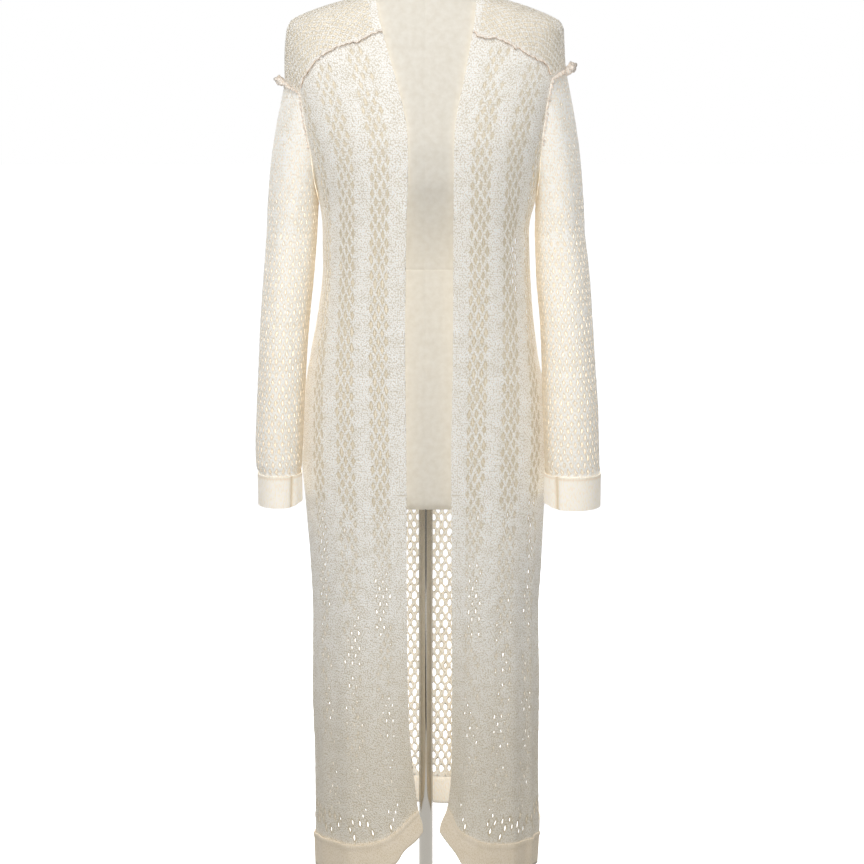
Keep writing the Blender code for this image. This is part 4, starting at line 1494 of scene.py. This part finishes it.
    def build(self) -> None:
        """Builds every piece."""
        front_pattern = MeshPattern(
            half_width=0.0059,
            half_height=0.0110,
            hole_width=0.0020,
            hole_height=0.0088,
            closed_first=5,
            open_run=5,
            closed_run=4,
            columns=27,
            scattered_below=0.272,
            sizes=(
                Size(0.225, 0.6, 0.6, 0.45),
                Size(0.245, 1.0, 0.9, 0.75),
                Size(0.268, 0.9, 0.8, 0.65),
                Size(0.276, 0.60, 0.5, 0.55),
                Size(0.640, 0.70, 0.6, 0.85),
                Size(0.760, 1.0, 0.9, 1.00),
                Size(0.960, 1.2, 1.0, 1.00),
                Size(1.100, 1.0, 1.0, 1.00),
                Size(1.180, 0.9, 0.9, 1.00),
                Size(1.300, 0.8, 0.8, 0.95),
            ),
        )
        back_pattern = MeshPattern(
            half_width=0.0059, half_height=0.0110, hole_width=0.0056, hole_height=0.0104
        )
        sleeve_pattern = MeshPattern(
            half_width=0.0050,
            half_height=0.0095,
            hole_width=0.0018,
            hole_height=0.0060,
            sizes=(
                Size(0.92, 1.0, 1.0, 1.0),
                Size(1.04, 0.9, 0.9, 0.95),
                Size(1.13, 0.8, 0.8, 0.85),
                Size(1.20, 0.6, 0.6, 0.60),
            ),
        )
        yoke_pattern = MeshPattern(
            half_width=0.0042, half_height=0.0064, hole_width=0.0026, hole_height=0.0052
        )
        rest = {"held": "draped", "rests_on": [FORM_NODE]}
        yoke_rolls, armhole_rolls = self.yoke_rolls(), self.armhole_rolls()
        for number, side in enumerate(Side):
            band = self.front_band(side)
            self.knitted(
                f"front_{side.word}",
                self.front(side),
                MeshKnit(front_pattern, 11 + number, crest=0.0006, rim_warmth=1.0),
                self.mesh_yarn,
                with_pieces=[band],
                **rest,
            )
        band = self.back_band()
        knit = MeshKnit(back_pattern, 21, sharp_rims=False)
        self.knitted("back", self.back(), knit, self.loose_yarn, with_pieces=[band], **rest)
        knit = MeshKnit(yoke_pattern, 31, crest=0.0005, rim_warmth=0.85)
        self.knitted("yoke", self.yoke(), knit, self.mesh_yarn, with_pieces=yoke_rolls, **rest)
        for number, side in enumerate(Side):
            cuff = self.cuff(side)
            self.knitted(
                f"sleeve_{side.word}",
                self.sleeve(side),
                MeshKnit(sleeve_pattern, 41 + number, crest=0.0006, rim_warmth=0.8),
                self.loose_yarn,
                held="hung",
                rests_on=["yoke_knit"],
                with_pieces=[cuff, armhole_rolls[number]],
            )

    def front_band(self, side: Side) -> bpy.types.Object:
        """The hem band of a front, whose lower front corner is round."""
        shares = np.linspace(0.0, 1.0, 90) ** 1.5
        top = by_side(WORN.front_band_seam, shares, side.value) - SEAM_GAP / 2
        bottom = by_side(WORN.front_hem, shares, side.value)
        place = partial(WORN.front_place, side=side.value)
        # Painted shade, darker and golden, as on the body low down.
        patch = self.band(place, top, bottom, shares, LOW_SHADE)
        node = f"hem_band_front_{side.word}"
        return show_piece(plain_sheet(node + "_knit", patch), self.plain_yarn, [node])

    def back_band(self) -> bpy.types.Object:
        """The hem band of the back."""
        shares = np.linspace(-1.0, 1.0, 160)
        top = by_side(WORN.back_band_seam, np.abs(shares), shares) - SEAM_GAP / 2
        bottom = top + SEAM_GAP / 2 - BAND_HEIGHT
        patch = self.band(WORN.back_place, top, bottom, shares, 0.0)
        node = "hem_band_back"
        return show_piece(plain_sheet(node + "_knit", patch), self.cuff_yarn, [node])

    def cuff(self, side: Side) -> bpy.types.Object:
        """A plain cuff with a pressed crease, and painted shade, darker and golden, in the crease and along
        its seam.
        """
        cuff = CUFFS[side]
        turns = np.linspace(-np.pi, np.pi, 97)[None, :]
        down = (np.linspace(0.0, 1.0, self.band_rows) ** 1.5)[:, None]
        # The seam's line, which carries only painted shade and no ridge.
        seam = np.exp(-(((down - self.ridge_share / 2) / (self.ridge_share / 2)) ** 2))
        crease = np.exp(-(((np.degrees(turns) - CREASE_TURN) / CREASE_SPREAD) ** 2))
        ridge = -CREASE_DEPTH * crease * (0.3 + 0.7 * down)
        away = np.abs((np.degrees(turns) - CREASE_LIFTED + 180.0) % 360.0 - 180.0)
        lift = CREASE_LIFT * eased((CREASE_LIFTED - CREASE_TURN - away) / 25.0)
        middle, half = (cuff.outer + cuff.inner) / 2, (cuff.outer - cuff.inner) / 2
        across = side.value * (middle + (half + ridge) * np.cos(turns))
        deep = -cuff.forward - (cuff.depth + ridge) * np.sin(turns)
        height = blend(cuff.top, cuff.bottom + lift, down)
        points = np.stack(np.broadcast_arrays(across, deep, height), axis=-1)
        normals = grid_normals(points, points.mean(axis=1, keepdims=True))
        flat = np.stack([run_lengths(points, 1), np.broadcast_to(height, across.shape)], axis=-1)
        node = f"cuff_{side.word}"
        # Painted shade, darker and golden, in the crease and along the seam.
        warmth = np.maximum(CREASE_SHADE * crease, SEAM_SHADE * seam)
        patch = Patch(points, normals, flat, warmth=warmth)
        mesh = plain_sheet(node + "_knit", patch, closed=True)
        piece = show_piece(mesh, self.cuff_yarn, [node])
        piece.data.set_sharp_from_angle(angle=math.radians(RIM_ANGLE))
        return piece

    def yoke_rolls(self) -> list[bpy.types.Object]:
        """The curled raw edges along the yoke's seams with the fronts and the back."""
        rolls = []
        for side in Side:
            turn, height = WORN.front_yoke_place(np.linspace(0.0, 0.955, 180), side.value)
            name = f"yoke_roll_front_{side.word}"
            rolls.append(self.curl(name, turn, height, 0.0015, 61 + side.value))
        turn, height = WORN.back_yoke_place(np.linspace(-0.955, 0.955, 320))
        return [*rolls, self.curl("yoke_roll_back", turn, height, 0.0015, 65)]

    def armhole_rolls(self) -> list[bpy.types.Object]:
        """The curled raw edges over the armholes, thick at the top and thin at their ends."""
        rolls = []
        for side in Side:
            points, out, onto = self.armhole(side, 480)
            keep = np.arange(-150, 151)
            radius = 0.0012 + 0.0032 * np.exp(-((keep / 50) ** 2))
            line = points[keep], out[keep], onto[keep]
            name = f"armhole_roll_{side.word}"
            rolls.append(self.curl_on(name, *line, radius, 71 + side.value, self.frill))
        return rolls

    def curl(
        self, node: str, turn: np.ndarray, height: np.ndarray, radius: float, seed: int
    ) -> bpy.types.Object:
        """A curled edge along a seam of the yoke, on the cloth below it."""
        points, out = WORN.at(turn, height), WORN.normal(turn, height)
        along = np.gradient(points, axis=0)
        onto = unit(np.cross(along, out))
        onto *= -np.sign(onto[:, 2:])
        taper = np.full(len(points), radius)
        return self.curl_on(node, points, out, onto, taper, seed)

    def curl_on(
        self,
        node: str,
        points: np.ndarray,
        out: np.ndarray,
        onto: np.ndarray,
        radius: np.ndarray,
        seed: int,
        frill: float = 0.0,
    ) -> bpy.types.Object:
        """A strip of cloth curled over along a line.

        Args:
            node: the solid that it stands for.
            points: the line, on the cloth's outer face.
            out: the directions straight out of the cloth.
            onto: the directions along the cloth towards which the strip lies.
            radius: the curl's radius along the line.
            seed: what makes it uneven.
            frill: how strongly its edge is crinkled, as a share of the radius.

        Returns:
            The piece.
        """
        chance = np.random.default_rng(seed)
        share = np.linspace(0.0, 1.0, len(points))
        length = float(run_lengths(points[None], 1)[0, -1])

        def uneven(*wave_lengths: float) -> np.ndarray:
            """Smooth chance along the line, mostly within 1 of 0."""
            waves = [length / wave for wave in wave_lengths]
            swings = [np.sin(2 * np.pi * (w * share + chance.uniform())) for w in waves]
            return sum(chance.uniform(0.5, 1.0) * swing for swing in swings) / math.sqrt(len(waves))

        radius = radius * (1 + 0.28 * uneven(0.030, 0.017, 0.011, 0.0075))
        radius = radius * (1 + frill * uneven(0.0085, 0.0060, 0.0045))
        points = points + onto * (self.wander * uneven(0.045, 0.021, 0.013, 0.009))[:, None]
        angle = np.linspace(math.radians(-70), math.radians(215), 17)[None, :]
        tight = (1.0 - 0.3 * np.linspace(0.0, 1.0, 17) ** 2)[None, :]
        lumps = np.sin(4 * angle + 3 * np.pi * uneven(0.012, 0.007)[:, None])
        reach = radius[:, None] * tight * (1 + 0.3 * frill * lumps)
        centre = points + out * (radius + 0.0004)[:, None] + onto * (0.8 * radius)[:, None]
        grid = (
            centre[:, None]
            - onto[:, None] * (reach * np.cos(angle))[..., None]
            + out[:, None] * (reach * np.sin(angle))[..., None]
        )
        normals = unit(grid - centre[:, None])
        flat = np.stack(
            [run_lengths(grid, 1), np.broadcast_to(run_lengths(grid, 0)[:, :1], grid.shape[:2])],
            axis=-1,
        )
        # Painted shade, darker and golden, on the part of the curl that turns under towards the cloth,
        # fainter where the edge is crinkled.
        warmth = (1.0 - frill) * eased((np.degrees(angle) - 120.0) / 40.0)
        mesh = plain_sheet(node + "_knit", Patch(grid, normals, flat, warmth=warmth), 0.0009)
        return show_piece(mesh, self.edge_yarn, [node])


@dataclass
class DressForm:
    """The limbless form in its linen cover, sewn at the centres, the sides, the waist and neck."""

    around: int = 192
    rows: int = 220
    seam_depth: float = 0.0005
    seam_width: float = 0.0012
    waist: float = 1.040
    neck_seam: float = 1.414

    def build(self) -> None:
        """Builds the cover over the form, closed at the neck and below the hips."""
        table = curves(FORM)
        turns = np.linspace(-np.pi, np.pi, self.around + 1)
        heights = np.linspace(FORM[-1].height, FORM[0].height, self.rows)
        levels = [self.waist, self.neck_seam]
        heights = self.crowded(heights, levels)
        seams = np.radians([-180.0, -90.0, 0.0, 90.0, 180.0])
        turns = self.crowded(turns, seams, 0.1)
        turn, height = turns[None, :], heights[:, None]
        side = table["side"](height)
        deep = np.where(np.cos(turn) >= 0, table["front"](height), table["back"](height))
        points = on_section(turn, side, deep, height)
        normals = grid_normals(points, points.mean(axis=1, keepdims=True))
        runs = run_lengths(points, 1)
        dip = np.zeros(points.shape[:2])
        for seam in seams:
            at = runs[:, np.argmin(np.abs(turns - seam))][:, None]
            dip = np.maximum(dip, np.exp(-(((runs - at) / self.seam_width) ** 2)))
        for level in levels:
            dip = np.maximum(dip, np.exp(-(((height - level) / self.seam_width) ** 2)) + 0 * runs)
        points = points - normals * (self.seam_depth * dip)[..., None]
        middle = runs[:, len(turns) // 2][:, None]
        flat = np.stack([runs - middle, np.broadcast_to(height, runs.shape)], axis=-1)
        cover = bmesh.new()
        rows, columns = points.shape[:2]
        bmesh.ops.create_grid(cover, x_segments=columns - 1, y_segments=rows - 1, size=0.5)
        layer = cover.loops.layers.uv.new("cloth")
        cover.verts.index_update()
        for vert in cover.verts:
            c = round((vert.co.x + 0.5) * (columns - 1))
            r = round((vert.co.y + 0.5) * (rows - 1))
            vert.index = r * columns + c
        for face in cover.faces:
            for loop in face.loops:
                r, c = divmod(loop.vert.index, columns)
                loop[layer].uv = flat[r, c]
        for vert in cover.verts:
            vert.co = points[divmod(vert.index, columns)]
        bmesh.ops.remove_doubles(cover, verts=cover.verts[:], dist=1e-6)
        open_edges = [edge for edge in cover.edges if edge.is_boundary]
        caps = bmesh.ops.holes_fill(cover, edges=open_edges, sides=0)
        for face in caps["faces"]:
            for loop in face.loops:
                loop[layer].uv = loop.vert.co.xy
        bmesh.ops.recalc_face_normals(cover, faces=cover.faces[:])
        mesh = bpy.data.meshes.new("form_cover")
        cover.to_mesh(mesh)
        cover.free()
        piece = show_piece(mesh, LINEN.material(), [FORM_NODE])
        mesh.set_sharp_from_angle(angle=math.radians(40))

    def crowded(self, values: np.ndarray, near: Sequence[float], scale: float = 1.0) -> np.ndarray:
        """Adds values close to each of some places, so that a seam there is sharp.

        Args:
            values: evenly spaced values.
            near: the seams' places, in the same measure.
            scale: the measure's size beside a metre at that place.

        Returns:
            The values with the added ones, in order.
        """
        step = self.seam_width / scale / 2
        extra = [place + k * step for place in near for k in (-3, -2, -1, 0, 1, 2, 3)]
        low, high = values[0], values[-1]
        kept = [v for v in values if min(abs(v - place) for place in near) > 3.5 * step]
        merged = np.unique(np.clip([*kept, *extra, low, high], low, high).round(6))
        merged[0], merged[-1] = low, high
        return merged


@dataclass
class Stand:
    """The chromed pole and the round steel base plate."""

    segments: int = 128
    base_bevel: float = 0.0015

    def build(self) -> None:
        """Builds both pieces from their solids' boxes."""
        self.turned("pole", CHROME.material(), "polished_tube", 0.0006)
        self.turned("base_plate", STEEL.material(), "steel_plate", self.base_bevel)

    def turned(self, node: str, material: bpy.types.Material, slot: str, edge: float) -> None:
        """A round piece as wide and high as a solid, with softened rims.

        Args:
            node: the solid.
            material: its finish.
            slot: the material slot's name; not used.
            edge: the rims' rounding.
        """
        low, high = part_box(node)
        radius, depth = (high.x - low.x) / 2, high.z - low.z
        shape = bmesh.new()
        bmesh.ops.create_cone(
            shape,
            cap_ends=True,
            segments=self.segments,
            radius1=radius,
            radius2=radius,
            depth=depth,
        )
        bmesh.ops.translate(shape, verts=shape.verts, vec=(0.0, 0.0, (low.z + high.z) / 2))
        rims = [e for e in shape.edges if abs(e.verts[0].co.z - e.verts[1].co.z) < TINY]
        bmesh.ops.bevel(
            shape, geom=rims, offset=edge, affect="EDGES", segments=3, profile=0.5, material=-1
        )
        mesh = bpy.data.meshes.new(node + "_turned")
        shape.to_mesh(mesh)
        shape.free()
        show_piece(mesh, material, [node])
        mesh.set_sharp_from_angle(angle=math.radians(40))


class Reach(Enum):
    """Which rays see a thing in the studio."""

    ALL = ("camera", "diffuse", "glossy")
    SEEN = ("camera",)
    REFLECTED = ("glossy",)
    LIGHTING = ("diffuse",)


@dataclass
class Studio:
    """A plain white studio: floor, soft light from above and behind, and the camera in front."""

    camera_place: tuple[float, float, float] = (0.00906, -2.75, 1.285)
    camera_tilt: float = 80.0
    lens: float = 81.67
    light_above: float = 0.36
    light_below: float = 0.24

    def build(self) -> None:
        """Sets the camera, the light and the floor."""
        scene = bpy.context.scene
        scene.view_settings.view_transform = "Standard"
        camera = bpy.data.objects.new("camera", bpy.data.cameras.new("camera"))
        camera.data.lens = self.lens
        camera.location = self.camera_place
        camera.rotation_euler = (math.radians(self.camera_tilt), 0.0, 0.0)
        scene.collection.objects.link(camera)
        scene.camera = camera
        self.room(scene)
        self.soft_box("key_light", (-0.4, -1.3, 2.6), 1.0, 20.0)
        self.soft_box("camera_light", (0.0, -2.9, 0.95), 0.7, 27.0, Reach.LIGHTING)
        self.soft_box("back_light_left", (1.2, 1.9, 1.5), 1.6, 36.0, Reach.LIGHTING)
        self.soft_box("back_light_right", (-1.2, 1.9, 1.5), 1.6, 36.0, Reach.LIGHTING)
        self.card("floor", (0.0, 0.0, 0.0), (60.0, 60.0), "white_floor", 1.0, Reach.SEEN)
        self.card("grey_card", (0.0, 0.0, -0.01), (12.0, 12.0), "grey_card", 0.86, Reach.REFLECTED)
        self.card("dark_card", (-0.02, -2.1, 0.01), (0.5, 2.1), "black_card", 0.0, Reach.REFLECTED)

    def room(self, scene: bpy.types.Scene) -> None:
        """A white room: bright behind the piece, and softer as light, most of it from above."""
        world = bpy.data.worlds.new("white_room")
        world.use_nodes = True
        scene.world = world
        tree = world.node_tree
        path = add_node(tree, "ShaderNodeLightPath")
        way = add_node(tree, "ShaderNodeTexCoord")
        parts = add_node(tree, "ShaderNodeSeparateXYZ", {}, {"Vector": way.outputs["Generated"]})
        light = add_node(
            tree,
            "ShaderNodeMapRange",
            {
                "From Min": -0.5,
                "From Max": 0.6,
                "To Min": self.light_below,
                "To Max": self.light_above,
            },
            {"Value": parts.outputs["Z"]},
        )
        strength = add_node(
            tree,
            "ShaderNodeMix",
            {"data_type": "FLOAT", 3: 1.0},
            {0: path.outputs["Is Camera Ray"], 2: light.outputs["Result"]},
        )
        background = tree.nodes["Background"]
        background.inputs["Color"].default_value = (1.0, 1.0, 1.0, 1.0)
        tree.links.new(strength.outputs[0], background.inputs["Strength"])

    def seen_by(self, thing: bpy.types.Object, reach: Reach) -> None:
        """Lets only some rays see a thing."""
        for ray in Reach.ALL.value:
            setattr(thing, f"visible_{ray}", ray in reach.value)

    def soft_box(
        self,
        name: str,
        place: tuple[float, float, float],
        size: float,
        power: float,
        reach: Reach = Reach.ALL,
    ) -> None:
        """A square soft light that faces the cardigan.

        Args:
            name: the light's name.
            place: where it stands.
            size: its side.
            power: its power in watts.
            reach: which rays see it.
        """
        data = bpy.data.lights.new(name, "AREA")
        data.size = size
        data.energy = power
        light = bpy.data.objects.new(name, data)
        light.location = place
        aim = Vector((0.0, 0.0, 0.9)) - light.location
        light.rotation_euler = aim.to_track_quat("-Z", "Y").to_euler()
        bpy.context.scene.collection.objects.link(light)
        self.seen_by(light, reach)

    def card(
        self,
        name: str,
        place: tuple[float, float, float],
        size: tuple[float, float],
        finish: str,
        glow: float,
        reach: Reach,
    ) -> None:
        """A level card: the floor, or a dark one that the polished pole reflects.

        Args:
            name: the card's name.
            place: its middle.
            size: its width and length.
            finish: its material's name.
            glow: how white it is.
            reach: which rays see it.
        """
        shape = bmesh.new()
        bmesh.ops.create_grid(shape, x_segments=1, y_segments=1, size=0.5)
        bmesh.ops.scale(shape, verts=shape.verts, vec=(*size, 1.0))
        bmesh.ops.translate(shape, verts=shape.verts, vec=place)
        mesh = bpy.data.meshes.new(name)
        shape.to_mesh(mesh)
        shape.free()
        card = bpy.data.objects.new(name, mesh)
        bpy.context.scene.collection.objects.link(card)
        material, shader = new_material(finish)
        shader.inputs["Base Color"].default_value = (0.9 * glow, 0.9 * glow, 0.9 * glow, 1.0)
        shader.inputs["Roughness"].default_value = 0.9
        shader.inputs["Emission Color"].default_value = (1.0, 1.0, 1.0, 1.0)
        shader.inputs["Emission Strength"].default_value = 0.8 * glow
        mesh.materials.append(material)
        self.seen_by(card, reach)


def main() -> None:
    """Builds the stand, the form, the cardigan and the studio."""
    logging.basicConfig(level=logging.INFO, format="%(message)s")
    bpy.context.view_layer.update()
    Studio().build()
    Stand().build()
    DressForm().build()
    Cardigan().build()


if __name__ == "__main__":
    main()
